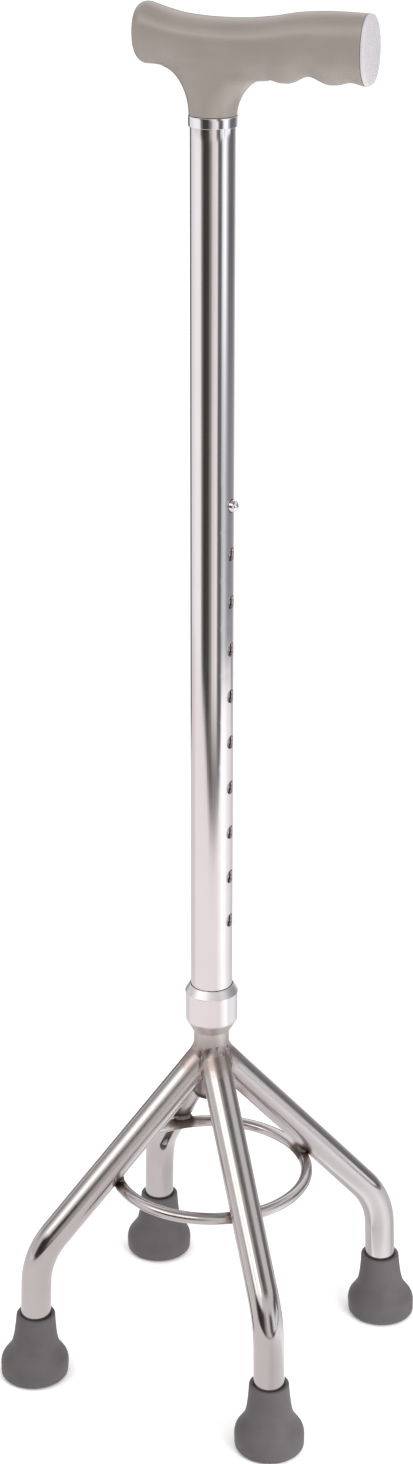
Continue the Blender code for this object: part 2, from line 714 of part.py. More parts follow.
def build_handle(parts, cutters, finish):
    turn = np.linspace(END_FIRST_STEP, np.pi / 2, END_STEPS)
    rounding = GRIP_BACK_END + END_ROUNDING * (1 - np.cos(turn))
    body = np.linspace(GRIP_BACK_END + END_ROUNDING, GRIP_FRONT_END, GRIP_STATIONS)[1:]
    bar = loft("grip_bar", bar_sections(np.concatenate([rounding, body]), GRIP_COLUMNS), cutters)
    neck = loft("grip_neck", neck_sections(GRIP_COLUMNS, NECK_ROWS), cutters)
    boolean(bar, as_cutter(neck), "UNION")
    grip = baked(bar, "handle_grip", parts, finish["taupe_plastic"])
    ends = (0, 0, NECK_BASE - OVERRUN), (0, 0, CORE_TOP + GAP)
    boolean(grip, drilling("core_bore", CORE_NECK_RADIUS + GAP, *ends, cutters))

    # The end cap follows the bar's last section, and its plug and the pocket for it are scaled from it
    last = bar_sections(np.array([GRIP_FRONT_END]), GRIP_COLUMNS)[0]
    centre = (last.max(0) + last.min(0)) / 2

    def prism(name, scales_at, collection):
        rows = [
            np.c_[np.full(len(last), x), centre[1:] + (last[:, 1:] - centre[1:]) * scale]
            for x, scale in scales_at
        ]
        return loft(name, np.array(rows), collection)

    pocket_ends = GRIP_FRONT_END - CAP_POCKET_DEPTH, GRIP_FRONT_END + OVERRUN
    pocket = [(x, CAP_POCKET_SCALE) for x in pocket_ends]
    boolean(grip, as_cutter(prism("cap_pocket", pocket, cutters)))
    face = GRIP_FRONT_END + GAP
    outline = [
        (GRIP_FRONT_END - CAP_PLUG_LENGTH, CAP_PLUG_SCALE),
        (face, CAP_PLUG_SCALE),
        (face + CAP_EDGE, CAP_OVERLAP),
        *((face + CAP_THICKNESS * part, scale) for part, scale in CAP_CROWN),
    ]
    cap = prism("handle_end_cap", outline, parts)
    cap.data.materials.append(finish["pale_plastic"])

    lead_in, lead_height = CORE_LEAD_IN
    profile = [
        (CORE_BORE, CORE_TOP),
        (CORE_NECK_RADIUS, CORE_TOP),
        (CORE_NECK_RADIUS, POLE_TOP - CORE_STEP_DROP),
        (CORE_RADIUS, POLE_TOP - CORE_STEP_DROP),
        (CORE_RADIUS, CORE_BOTTOM + lead_height),
        (CORE_RADIUS - lead_in, CORE_BOTTOM),
        (CORE_BORE, CORE_BOTTOM),
    ]
    turned("handle_core", profile, parts, finish["white_nylon"])
    bevel = FERRULE_BEVEL
    profile = [
        (POLE_RADIUS + GAP, FERRULE_TOP),
        (FERRULE_RADIUS - bevel, FERRULE_TOP),
        (FERRULE_RADIUS, FERRULE_TOP - bevel),
        (FERRULE_RADIUS, FERRULE_BOTTOM + bevel),
        (FERRULE_RADIUS - bevel, FERRULE_BOTTOM),
        (POLE_RADIUS + GAP, FERRULE_BOTTOM),
    ]
    turned("handle_ferrule", profile, parts, finish["chrome"])


def main():
    clear_scene()
    parts = new_collection("quad_cane")
    cutters = new_collection("cutters")
    finish = {name: new_material(name) for name in FINISHES}
    build_pole(parts, cutters, finish)
    build_stem(parts, cutters, finish)
    build_button(parts, cutters, finish)
    build_collar(parts, cutters, finish)
    build_legs(parts, cutters, finish)
    build_hub_welds(parts, cutters, finish)
    build_ring(parts, cutters, finish)
    build_feet(parts, finish)
    build_handle(parts, cutters, finish)


main()
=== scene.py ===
"""The looks of the quad cane: finer shapes for its pieces, their finishes, and the studio round it.

Metres, in the frame of the CAD part: +Z up, the origin on the floor on the pole's axis, the grip's long
end and the row of pin holes on the +X side.
"""

import math

import bmesh
import bpy
import numpy as np
from mathutils import Euler, Matrix


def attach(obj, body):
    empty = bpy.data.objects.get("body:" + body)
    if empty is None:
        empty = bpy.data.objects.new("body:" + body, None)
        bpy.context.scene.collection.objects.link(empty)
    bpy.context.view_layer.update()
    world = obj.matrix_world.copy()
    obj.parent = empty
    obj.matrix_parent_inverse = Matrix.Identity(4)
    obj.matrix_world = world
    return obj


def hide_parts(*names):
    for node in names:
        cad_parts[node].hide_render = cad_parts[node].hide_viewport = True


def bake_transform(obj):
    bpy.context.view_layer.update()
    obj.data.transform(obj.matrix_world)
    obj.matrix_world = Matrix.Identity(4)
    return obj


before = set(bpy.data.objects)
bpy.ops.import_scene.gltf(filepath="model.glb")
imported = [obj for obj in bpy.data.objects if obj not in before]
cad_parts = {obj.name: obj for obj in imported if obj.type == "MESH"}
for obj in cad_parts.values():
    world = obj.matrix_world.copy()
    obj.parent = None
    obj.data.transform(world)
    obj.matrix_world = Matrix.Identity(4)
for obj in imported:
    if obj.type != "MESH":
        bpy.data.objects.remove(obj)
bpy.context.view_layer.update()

# Sizes shared with the CAD part
POLE_RADIUS = 0.0111
POLE_WALL = 0.0012
POLE_BOTTOM = 0.206
POLE_TOP = 0.6852
STEM_RADIUS = 0.0095
STEM_WALL = 0.0012
STEM_BOTTOM = 0.1595
STEM_TOP = 0.515
HOLE_RADIUS = 0.0035
HOLE_PITCH = 0.0254
HOLE_COUNT = 10
TOP_HOLE_Z = 0.4937
BUTTON_RADIUS = 0.0031
BUTTON_TIP = 0.0145
BUTTON_TAIL_RADIUS = 0.0012
BUTTON_FLANGE_RADIUS = 0.0042
BUTTON_FLANGE = (0.0058, 0.0068)
BUTTON_HEAD_RADIUS = 0.0020
BUTTON_HEAD = (0.0036, 0.0044)
SPRING_WIDTH = 0.008
SPRING_THICKNESS = 0.0008
SPRING_ARM_X = 0.0051
SPRING_BACK_X = -0.0067
SPRING_ARM_TOP = TOP_HOLE_Z + 0.005
SPRING_BACK_TOP = TOP_HOLE_Z + 0.002
SPRING_BEND_Z = TOP_HOLE_Z - 0.032
GAP = 0.0003
COLLAR_TOP = 0.2258
COLLAR_CHAMFER_BOTTOM = 0.2214
COLLAR_TAPER_TOP = 0.2056
COLLAR_BOTTOM = 0.1988
COLLAR_RADIUS = 0.0142
COLLAR_FLATS = 8
COLLAR_FLAT_DISTANCE = 0.0138
COLLAR_TURN = math.radians(58)
COLLET_SEAT = 0.2002
LEG_RADIUS = 0.0083
LEG_WALL = 0.0012
FOOT_CIRCLE = 0.1028
LEG_SLOPE = math.radians(48.5)
LEG_LEAN = math.radians(2.2)
LEG_JOINT_Z = 0.1763
LEG_BEND_RADIUS = 0.044
LEG_END_Z = 0.0085
RING_RADIUS = 0.0526
RING_WIRE = 0.00325
RING_Z = 0.1112
LEGS = {"front_left": 45, "back_left": 135, "back_right": 225, "front_right": 315}
FERRULE_RADIUS = 0.0119
FERRULE_ENDS = (0.6856, 0.6805)
NECK_BASE = 0.6859
NECK_RADIUS = 0.0117
GRIP_BACK = -0.0412
GRIP_FRONT = 0.0803


def grid(rows, columns, round_columns=True, round_rows=False):
    """Quads between neighbouring points of a grid stored row by row, closed round where asked."""
    r = np.arange(rows if round_rows else rows - 1)[:, None]
    c = np.arange(columns if round_columns else columns - 1)[None, :]
    near, far = r * columns, (r + 1) % rows * columns
    side = (c + 1) % columns
    return np.stack([near + c, near + side, far + side, far + c], axis=-1).reshape(-1, 4)


def joined(*parts):
    """Several (points, quads) pairs as one pair, each part's quads counted on from the last one's."""
    points = [np.asarray(p, float).reshape(-1, 3) for p, _ in parts]
    starts = np.cumsum([0] + [len(p) for p in points[:-1]])
    quads = [q + start for (_, q), start in zip(parts, starts)]
    return np.concatenate(points), np.concatenate(quads)


def piece(name, shape, finish, body, *nodes, sharp=38.0):
    """A closed mesh from points and quads. Doubles are merged, so that a row of equal points becomes a
    pole, faces are turned outwards, and edges sharper than the angle stay crisp. Where body is a tuple,
    the piece is attached to no body and its place is baked into its points."""
    points = np.ascontiguousarray(shape[0], dtype=np.float32).reshape(-1, 3)
    quads = np.ascontiguousarray(shape[1], dtype=np.int32)
    mesh = bpy.data.meshes.new(name)
    mesh.vertices.add(len(points))
    mesh.vertices.foreach_set("co", points.ravel())
    mesh.loops.add(quads.size)
    mesh.loops.foreach_set("vertex_index", quads.ravel())
    mesh.polygons.add(len(quads))
    mesh.polygons.foreach_set("loop_start", np.arange(0, quads.size, 4, dtype=np.int32))
    mesh.update(calc_edges=True)
    made = bmesh.new()
    made.from_mesh(mesh)
    bmesh.ops.remove_doubles(made, verts=made.verts, dist=2e-6)
    bmesh.ops.recalc_face_normals(made, faces=made.faces)
    made.to_mesh(mesh)
    made.free()
    mesh.shade_smooth()
    mesh.set_sharp_from_angle(angle=math.radians(sharp))
    mesh.materials.append(finish)
    obj = bpy.data.objects.new(name, mesh)
    bpy.context.scene.collection.objects.link(obj)
    if isinstance(body, tuple):
        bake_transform(obj)
    else:
        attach(obj, body)
    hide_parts(*nodes)
    return obj


def unit(v):
    """The vectors at length 1."""
    return v / np.linalg.norm(v, axis=-1, keepdims=True)


def smoothstep(x, low, high):
    """0 below low, 1 above high, and 3t^2 - 2t^3 between them."""
    t = np.clip((x - low) / (high - low), 0, 1)
    return t * t * (3 - 2 * t)


def smooth_line(knots, x):
    """The value at x of a smooth line through the knots: cubic pieces, with np.gradient's slopes."""
    at, value = np.array(knots).T
    slope = np.gradient(value, at)
    k = np.clip(np.searchsorted(at, x) - 1, 0, len(at) - 2)
    width = at[k + 1] - at[k]
    t = (x - at[k]) / width
    near = (1 + 2 * t) * (1 - t) ** 2 * value[k] + t * (1 - t) ** 2 * width * slope[k]
    far = t * t * (3 - 2 * t) * value[k + 1] + t * t * (t - 1) * width * slope[k + 1]
    return near + far


def rounded(corners, radii, steps=6):
    """A closed outline with round corners. Each corner C turns into the circular arc between its tangent
    points A and B: the rational curve ((1-t)^2 A + 2t(1-t) w C + t^2 B) / ((1-t)^2 + 2t(1-t) w + t^2),
    where w is the sine of half the corner's angle."""
    corner = np.array(corners, float)
    before, after = np.roll(corner, 1, axis=0) - corner, np.roll(corner, -1, axis=0) - corner
    u, v = unit(before), unit(after)
    half = np.arccos(np.clip((u * v).sum(1), -1, 1)) / 2
    reach = np.minimum(np.linalg.norm(before, axis=1), np.linalg.norm(after, axis=1)) * 0.48
    tangent = np.minimum(np.broadcast_to(radii, len(corner)) / np.tan(half), reach)[:, None, None]
    t = np.linspace(0, 1, steps)[None, :, None]
    weight = np.sin(half)[:, None, None]
    a, b, c = (corner + u * 0)[:, None], (corner + v * 0)[:, None], corner[:, None]
    a = a + u[:, None] * tangent
    b = b + v[:, None] * tangent
    top = (1 - t) ** 2 * a + 2 * t * (1 - t) * weight * c + t**2 * b
    return (top / ((1 - t) ** 2 + 2 * t * (1 - t) * weight + t**2)).reshape(-1, 2)


def turned(profile, steps=96, closed=True):
    """The profile (radius r, height z) turned round Z: the point at angle a is (r cos a, r sin a, z)."""
    r, z = np.asarray(profile, float).T
    a = np.linspace(0, 2 * np.pi, steps, endpoint=False)
    points = np.empty((len(r), steps, 3))
    points[..., 0] = r[:, None] * np.cos(a)
    points[..., 1] = r[:, None] * np.sin(a)
    points[..., 2] = z[:, None]
    return points, grid(len(r), steps, True, closed)


def about_z(points, degrees):
    """The points turned round Z."""
    a = math.radians(degrees)
    turn = np.array([[math.cos(a), math.sin(a), 0], [-math.sin(a), math.cos(a), 0], [0, 0, 1]])
    return np.asarray(points, float).reshape(-1, 3) @ turn


def on_tube(angle, height, radius):
    """Points (r cos a, r sin a, h)."""
    return np.stack([radius * np.cos(angle), radius * np.sin(angle), height + 0 * angle], axis=-1)


def drilled_tube(outer, inner, bottom, top, heights, hole, edge=0.0002, cells=12, back=52):
    """A tube with a column of round holes drilled along X through its +X wall. Round each hole lies a
    square patch of the wall. Its point (s, t) is (1-s) times the hole's edge at t plus s times the
    square's edge at t, in angle and height. The hole's wall carries the patch on the outer radius over
    a rounded edge to the one on the inner radius. The rest of the tube is plain grids on both radii."""
    width = 0.0085 / outer
    pitch = HOLE_PITCH
    low, high = min(heights) - pitch / 2, max(heights) + pitch / 2
    step = np.arange(cells) / cells
    ones = np.ones(cells)
    square = np.concatenate(
        [
            np.c_[-width + 2 * width * step, -ones * pitch / 2],
            np.c_[ones * width, -pitch / 2 + pitch * step],
            np.c_[width - 2 * width * step, ones * pitch / 2],
            np.c_[-ones * width, pitch / 2 - pitch * step],
        ]
    )
    t = np.arctan2(square[:, 1], square[:, 0] * outer)

    def hole_edge(size, radius):
        """The round hole's edge as angle and height on a tube of this radius."""
        return np.c_[np.arcsin(size * np.cos(t) / radius), size * np.sin(t)]

    ease = np.linspace(0, 1, 11)[1:] ** 1.6
    bend = np.linspace(0, np.pi / 2, 6)
    rows = [(1 - s) * hole_edge(hole + edge, outer) + s * square for s in ease[::-1]]
    radii = [outer] * len(ease)
    for b in bend:
        radius = outer - edge * (1 - math.cos(b))
        rows.append(hole_edge(hole + edge * (1 - math.sin(b)), radius))
        radii.append(radius)
    rows += [hole_edge(hole, inner)] + [(1 - s) * hole_edge(hole, inner) + s * square for s in ease]
    radii += [inner] * (len(ease) + 1)
    patch = np.array(rows)
    radius = np.array(radii)[:, None]
    parts = [
        (on_tube(patch[..., 0], patch[..., 1] + z, radius), grid(len(rows), len(t)))
        for z in heights
    ]
    rest = np.linspace(width, 2 * np.pi - width, back + 1)
    levels = np.linspace(low, high, cells * len(heights) + 1)[:, None]
    for r in (outer, inner):
        parts.append((on_tube(rest + 0 * levels, levels, r), grid(len(levels), back + 1, False)))
    around = np.concatenate([-width + 2 * width * step, rest[:-1]])
    for start, end in ((high, top), (low, bottom)):
        lip = math.copysign(edge, end - start)
        turn = np.linspace(0, np.pi / 2, 5)
        run = np.linspace(start, end - lip, 12)
        outside = outer - edge * (1 - np.cos(turn))
        inside = inner + edge * (1 - np.sin(turn))
        r = np.r_[outer + 0 * run, outside, inside, inner + 0 * run][:, None]
        z = np.r_[run, end - lip + lip * np.sin(turn), end - lip + lip * np.cos(turn), run[::-1]][:, None]
        parts.append((on_tube(around + 0 * z, z, r), grid(len(z), len(around))))
    return joined(*parts)


def leg_start(angle, radius):
    """How far down the leg's axis the line at this angle round the leg starts: where it leaves the stem's
    surface x^2 + y^2 = R^2, or the plane |y| = x that parts it from the next leg, whichever is later."""
    y = radius * np.sin(angle)
    stem = np.sqrt(np.maximum(STEM_RADIUS**2 - y**2, 0))
    x = np.maximum(stem, np.abs(y))
    return (x - radius * np.cos(angle) * math.sin(LEG_SLOPE)) / math.cos(LEG_SLOPE)


DOWN_LEG = np.array([math.cos(LEG_SLOPE), 0, -math.sin(LEG_SLOPE)])
OVER_LEG = np.array([math.sin(LEG_SLOPE), 0, math.cos(LEG_SLOPE)])
SIDEWAYS = np.array([0.0, 1.0, 0.0])
LEG_ORIGIN = np.array([0, 0, LEG_JOINT_Z + STEM_RADIUS * math.tan(LEG_SLOPE)])


def leg_tube():
    """A bent tube along +X. A point of it is C(s) + r (cos(a) N(s) + sin(a) Y): C is the centre line, a
    slanted run, a bend and a lower run that leans out a little, and N the normal on the bend's outer
    side. The slanted run's lines start on the stem."""
    a = np.linspace(0, 2 * np.pi, 56, endpoint=False)[None, :, None]
    slope, lean = math.tan(LEG_SLOPE), math.tan(LEG_LEAN)
    corner_z = (LEG_JOINT_Z - (FOOT_CIRCLE - STEM_RADIUS) * slope) / (1 - lean * slope)
    corner = np.array([FOOT_CIRCLE - corner_z * lean, 0, corner_z])
    tangent = LEG_BEND_RADIUS * math.tan((math.pi / 2 - LEG_SLOPE - LEG_LEAN) / 2)
    bend_start = corner - tangent * DOWN_LEG
    phi = np.linspace(math.pi / 2 - LEG_SLOPE, LEG_LEAN, 30)[1:, None]
    normal = np.concatenate([np.cos(phi), 0 * phi, np.sin(phi)], axis=1)
    bend = bend_start + LEG_BEND_RADIUS * (normal - OVER_LEG)
    run = np.linalg.norm(bend_start - LEG_ORIGIN)
    z = np.linspace(bend[-1, 2], LEG_END_Z, 5)[1:]
    lower = np.c_[FOOT_CIRCLE - z * lean, 0 * z, z]
    centre = np.concatenate([bend, lower])[:, None]
    outwards = np.concatenate([normal, np.tile(normal[-1], (4, 1))])[:, None]
    skins = []
    for r in (LEG_RADIUS, LEG_RADIUS - LEG_WALL):
        ring = np.cos(a) * OVER_LEG + np.sin(a) * SIDEWAYS
        first = leg_start(a, r)
        share = np.linspace(0, 1, 16)[:, None, None]
        slanted = LEG_ORIGIN + DOWN_LEG * (first + (run - first) * share) + r * ring
        rest = centre + r * (np.cos(a) * outwards + np.sin(a) * SIDEWAYS)
        skins.append(np.concatenate([slanted, rest]))
    points = np.concatenate([skins[0], skins[1][::-1]])
    return points, grid(len(points), points.shape[1], True, True)


def hub_fillet(size=0.0032, reach=math.radians(128), steps=150, ripples=46):
    """The weld between a leg and the stem. Along the joint, at angle a round the leg, a curve runs from a
    point S over the joint to a point L down the leg: (1-t)^2 S + 2t(1-t) C + t^2 L, with C near the
    joint, raised by |sin(k a)| for the bead's ripples. It narrows to nothing at both ends."""
    a = np.linspace(-reach, reach, steps)[:, None]
    taper = np.sqrt(np.clip(1 - (a / reach) ** 4, 0, 1))
    normal = np.cos(a) * OVER_LEG + np.sin(a) * SIDEWAYS
    joint = LEG_ORIGIN + DOWN_LEG * leg_start(a, LEG_RADIUS) + LEG_RADIUS * normal
    flat = joint * [1, 1, 0]
    stem_normal = unit(flat)
    mirrored = np.stack(
        [np.abs(normal[:, 1]), np.sign(a[:, 0]) * normal[:, 0], normal[:, 2]], axis=-1
    )
    groove = unit(normal + mirrored)
    between = smoothstep(np.abs(a), math.radians(44), math.radians(62))
    up = np.array([0, 0, 1.0])
    on_stem = joint + up * size * 0.8 * taper
    on_groove = joint + groove * size * 0.30 * taper
    start = on_stem * (1 - between) + on_groove * between
    end = joint + DOWN_LEG * size * taper + normal * 0.00004
    bulge = unit(normal + stem_normal * (1 - between) + groove * between)
    lift = 0.10 + 0.03 * np.abs(np.sin(a * ripples / 2)) * (1 - 0.5 * between)
    control = joint + bulge * size * lift * taper
    t = np.linspace(0, 1, 9)[None, :, None]
    skin = (1 - t) ** 2 * start[:, None] + 2 * t * (1 - t) * control[:, None] + t**2 * end[:, None]
    root = (joint - bulge * 0.0008 * taper)[:, None]
    points = np.concatenate([skin, root], axis=1)
    cap = np.broadcast_to(points.mean(1, keepdims=True), points.shape)
    points = np.concatenate([cap[:1], points, cap[-1:]])
    return points, grid(len(points), points.shape[1])


def hoop():
    """The ring of wire: ((R + r cos b) cos a, (R + r cos b) sin a, z + r sin b)."""
    a = np.linspace(0, 2 * np.pi, 192, endpoint=False)[:, None]
    b = np.linspace(0, 2 * np.pi, 28, endpoint=False)[None, :]
    out = RING_RADIUS + RING_WIRE * np.cos(b)
    points = np.stack([out * np.cos(a), out * np.sin(a), RING_Z + RING_WIRE * np.sin(b) + 0 * a], axis=-1)
    return points, grid(192, 28, True, True)


def weld_lump():
    """A lump of weld in the corner over the hoop: a ball drawn out along the hoop, whose radius swells by
    a few percent with sines of both angles for the ripples of the bead."""
    u = np.linspace(0, np.pi, 33)[:, None]
    v = np.linspace(0, 2 * np.pi, 48, endpoint=False)[None, :]
    ripple = 1 + 0.05 * np.sin(9 * u) * np.sin(u) + 0.04 * np.sin(3 * v + 1.0) * np.sin(u) ** 2
    place = np.array([RING_RADIUS, 0, RING_Z]) + OVER_LEG * 0.0026 - DOWN_LEG * 0.0030
    x = 0.0023 * np.sin(u) * np.cos(v) * ripple
    y = 0.0054 * np.cos(u) + 0 * v
    z = 0.0023 * np.sin(u) * np.sin(v) * ripple
    points = np.stack([x, y, z], axis=-1) + place
    return points, grid(33, 48)


FOOT_SIDE = (
    (0.0040, 0.0186),
    (0.0090, 0.0186),
    (0.0114, 0.0179),
    (0.0138, 0.0163),
    (0.0164, 0.0146),
    (0.0190, 0.0132),
    (0.0212, 0.0126),
    (0.0236, 0.0121),
    (0.0300, 0.0113),
    (0.0372, 0.0107),
)


def foot():
    """A rubber foot under the leg along +X, turned: bore, lip, sleeve, shoulder, wall and a sole with
    round grooves. It is sheared to follow the leg's lean: x moves by R - z tan(lean)."""
    z = np.linspace(0.0368, 0.0050, 48)
    side = np.c_[smooth_line(FOOT_SIDE, z), z]
    b = np.linspace(0, np.pi / 2, 9)
    lip = np.c_[0.0099 + 0.0008 * np.sin(b), 0.0372 + 0.0009 * np.cos(b)]
    edge = np.c_[0.0186 - 0.0025 * (1 - np.cos(b)), 0.0025 * (1 - np.sin(b))]
    mouth = np.array([[0.0084, 0.006], [0.0084, 0.0376], [0.0085, 0.0379], [0.0088, 0.0381]])
    sole = []
    for r in (0.0142, 0.0100, 0.0058):
        sole += [[r + 0.0012, 0.0], [r + 0.0009, 0.0011], [r - 0.0009, 0.0011], [r - 0.0012, 0.0]]
    profile = np.concatenate([[[0, 0.006]], mouth, lip, side, edge, sole, [[0, 0]]])
    points, quads = turned(profile, 88, False)
    points[..., 0] += FOOT_CIRCLE - points[..., 2] * math.tan(LEG_LEAN)
    return points, quads


GRIP_TOP_LINE = (
    (-0.0412, 0.0520),
    (-0.0340, 0.0506),
    (-0.0260, 0.0485),
    (-0.0180, 0.0468),
    (-0.0060, 0.0457),
    (0.0080, 0.0456),
    (0.0200, 0.0462),
    (0.0320, 0.0477),
    (0.0440, 0.0499),
    (0.0580, 0.0512),
    (0.0803, 0.0514),
)
GRIP_BOTTOM_LINE = (
    (-0.0412, 0.0215),
    (-0.0290, 0.0218),
    (0.0, 0.0203),
    (0.0300, 0.0173),
    (0.0400, 0.0171),
    (0.0620, 0.0179),
    (0.0803, 0.0185),
)
GRIP_WIDTH_LINE = (
    (-0.0412, 0.0108),
    (-0.0200, 0.0116),
    (0.0100, 0.0122),
    (0.0400, 0.0122),
    (0.0620, 0.0116),
    (0.0803, 0.0103),
)
FINGER_GROOVES = ((0.0315, 0.0009, 0.0055), (0.0508, 0.0036, 0.0115), (0.0724, 0.0014, 0.0080))
FLARE_FRONT = (0.0175, 0.0183)
FLARE_BACK = (0.0182, 0.0220)


def bar_lines(x):
    """The bar's top, bottom and half width at x, with the finger grooves in the bottom line, and how far
    the round back end draws its sections in: (1 - d^n)^(1/n), where d runs from 0 to 1 at the end."""
    top = smooth_line(GRIP_TOP_LINE, x)
    bottom = smooth_line(GRIP_BOTTOM_LINE, x)
    groove = 0 * x
    for middle, depth, half_length in FINGER_GROOVES:
        dip = np.cos(np.clip((x - middle) / half_length, -1, 1) * np.pi / 2) ** 2
        bottom = bottom + depth * dip
        groove = groove + dip * depth / 0.0034
    d = np.clip((GRIP_BACK + 0.008 - x) / 0.008, 0, 1)
    drawn_in = (1 - d**2.6) ** (1 / 2.6)
    return top, bottom, smooth_line(GRIP_WIDTH_LINE, x), drawn_in, groove


def neck_reach(rise, flare):
    """How far the neck's front or back side lies from the pole's axis: a quarter ellipse that opens out."""
    outward, upward = flare
    t = np.clip(rise / upward, 0, 0.985)
    return NECK_RADIUS + outward * (1 - np.sqrt(1 - t * t))


def flare_height(x):
    """The height of the neck's flared side at x, the inverse of neck_reach. It is 0 over the base."""
    out, up = np.where(x > 0, FLARE_FRONT[0], FLARE_BACK[0]), np.where(x > 0, FLARE_FRONT[1], FLARE_BACK[1])
    t = np.clip((np.abs(x) - NECK_RADIUS) / out, 0, 1)
    return up * np.sqrt(1 - (1 - t) ** 2) + np.maximum(np.abs(x) - NECK_RADIUS - out, 0) * 3


def grip_sections(x, steps):
    """Sections across the grip at these x. The half thickness over a point (x, z) is the soft maximum of
    two: the bar's, w (1 - |v|^p)^(1/p) with v the height between its bottom and top lines, and the
    neck's, R (1 - |u|^q)^(1/q) with u the place between its back and front sides. q grows up the neck,
    so that its round base turns into a plate with rounded edges. In the corners under the bar, where
    the bottom line is drawn down, the lower edge is a parabola sqrt(2 r h) at the height h over it."""
    top, bottom, width, drawn_in, groove = bar_lines(x)
    middle, half = (top + bottom) / 2, (top - bottom) / 2 * drawn_in
    flare = flare_height(x)
    k = 0.0022
    gap = np.maximum(k - np.abs(flare - (middle - half)), 0)
    low = np.minimum(flare, middle - half) - gap**2 / (4 * k) * (flare > 0)
    low = np.maximum(low, 0)
    web = 0.0015 * gap / k * (flare > 0)
    high = middle + half
    t = (1 - np.cos(np.linspace(0, np.pi, steps))) / 2
    z = low[:, None] + (high - low)[:, None] * t
    v = np.clip((z - middle[:, None]) / np.maximum(half, 1e-9)[:, None], -1, 1)
    bar = (width * drawn_in)[:, None] * (1 - np.abs(v) ** 2.3) ** (1 / 2.3)
    bar = bar * (1 - 0.07 * groove[:, None] * smoothstep(-v, -0.1, 0.8))
    front, back = neck_reach(z, FLARE_FRONT), neck_reach(z, FLARE_BACK)
    u = np.clip((x[:, None] - (front - back) / 2) / ((front + back) / 2), -1, 1)
    q = 2 + np.where(u > 0, 1.1, 0.2) * smoothstep(z, 0.0, 0.018)
    thick = NECK_RADIUS + (np.minimum(width, 0.0123)[:, None] - NECK_RADIUS) * smoothstep(z, 0.004, 0.020)
    neck = thick * (1 - np.abs(u) ** q) ** (1 / q) * (1 - smoothstep(z, 0.029, 0.042))
    k = 0.0006 + 0.0018 * smoothstep(-v, 0.10, 0.60)
    near = np.maximum(k - np.abs(bar - neck), 0)
    y = np.maximum(bar, neck) + near**2 / (4 * k) * np.clip(np.minimum(bar, neck) / 0.004, 0, 1)
    above = z - low[:, None]
    y = np.maximum(y, np.sqrt(2 * web[:, None] * above) * (1 - smoothstep(above, 0.0006, 0.0016)))
    y[:, -1] = 0
    xs = np.broadcast_to(x[:, None], z.shape)
    left = np.stack([xs, y, NECK_BASE + z], axis=-1)
    right = np.stack([xs, -y, NECK_BASE + z], axis=-1)[:, ::-1]
    return np.concatenate([left, right], axis=1)


def grip():
    """The moulded grip: its sections joined along X, and at the front end a pocket for the cap's plug,
    whose rows are the last section scaled about its middle."""
    quarter = 1 - np.cos(np.linspace(0, np.pi / 2, 15))
    stations = np.concatenate(
        [
            GRIP_BACK + 0.008 * quarter[:-1],
            np.linspace(GRIP_BACK + 0.008, -0.0300, 4)[:-1],
            (-NECK_RADIUS - 0.0183 * quarter[::-1]),
            -NECK_RADIUS * np.cos(np.linspace(0, np.pi, 33))[1:-1],
            NECK_RADIUS + 0.0175 * quarter,
            np.linspace(0.0300, GRIP_FRONT, 66),
        ]
    )
    sections = grip_sections(stations, 44)
    last = sections[-1]
    centre = (last.max(0) + last.min(0)) / 2
    deep = np.array([0.012, 0, 0])
    pocket = [centre + (last - centre) * 0.75, centre - deep + (last - centre) * 0.75]
    pocket.append(np.broadcast_to(centre - deep, last.shape))
    sections = np.concatenate([sections, pocket])
    return sections, grid(*sections.shape[:2])


def end_cap():
    """The grip's oval cap: the bar's last section scaled by s about its middle, at x. The pairs (x, s) go
    from the plug's inner end over the lip and the rounded edge to the middle of the crowned face."""
    section = grip_sections(np.array([GRIP_FRONT]), 60)[0]
    centre = (section.max(0) + section.min(0)) / 2
    flat = (section - centre) * [0, 1, 1]
    face = GRIP_FRONT + GAP
    b = np.linspace(0, np.pi / 2, 9)
    edge = np.c_[face + 0.0016 * np.sin(b), 1.0 - 0.13 * (1 - np.cos(b))]
    s = np.linspace(0.87, 0, 12)[1:]
    crown = np.c_[face + 0.0016 + 0.0004 * (1 - (s / 0.87) ** 2), s]
    plug = [[face - 0.0100, 0], [face - 0.0100, 0.72], [face, 0.72]]
    x, scale = np.concatenate([plug, edge, crown]).T
    points = flat[None] * scale[:, None, None]
    points[..., 0] = x[:, None]
    points += centre * [0, 1, 1]
    return points, grid(len(x), len(section))


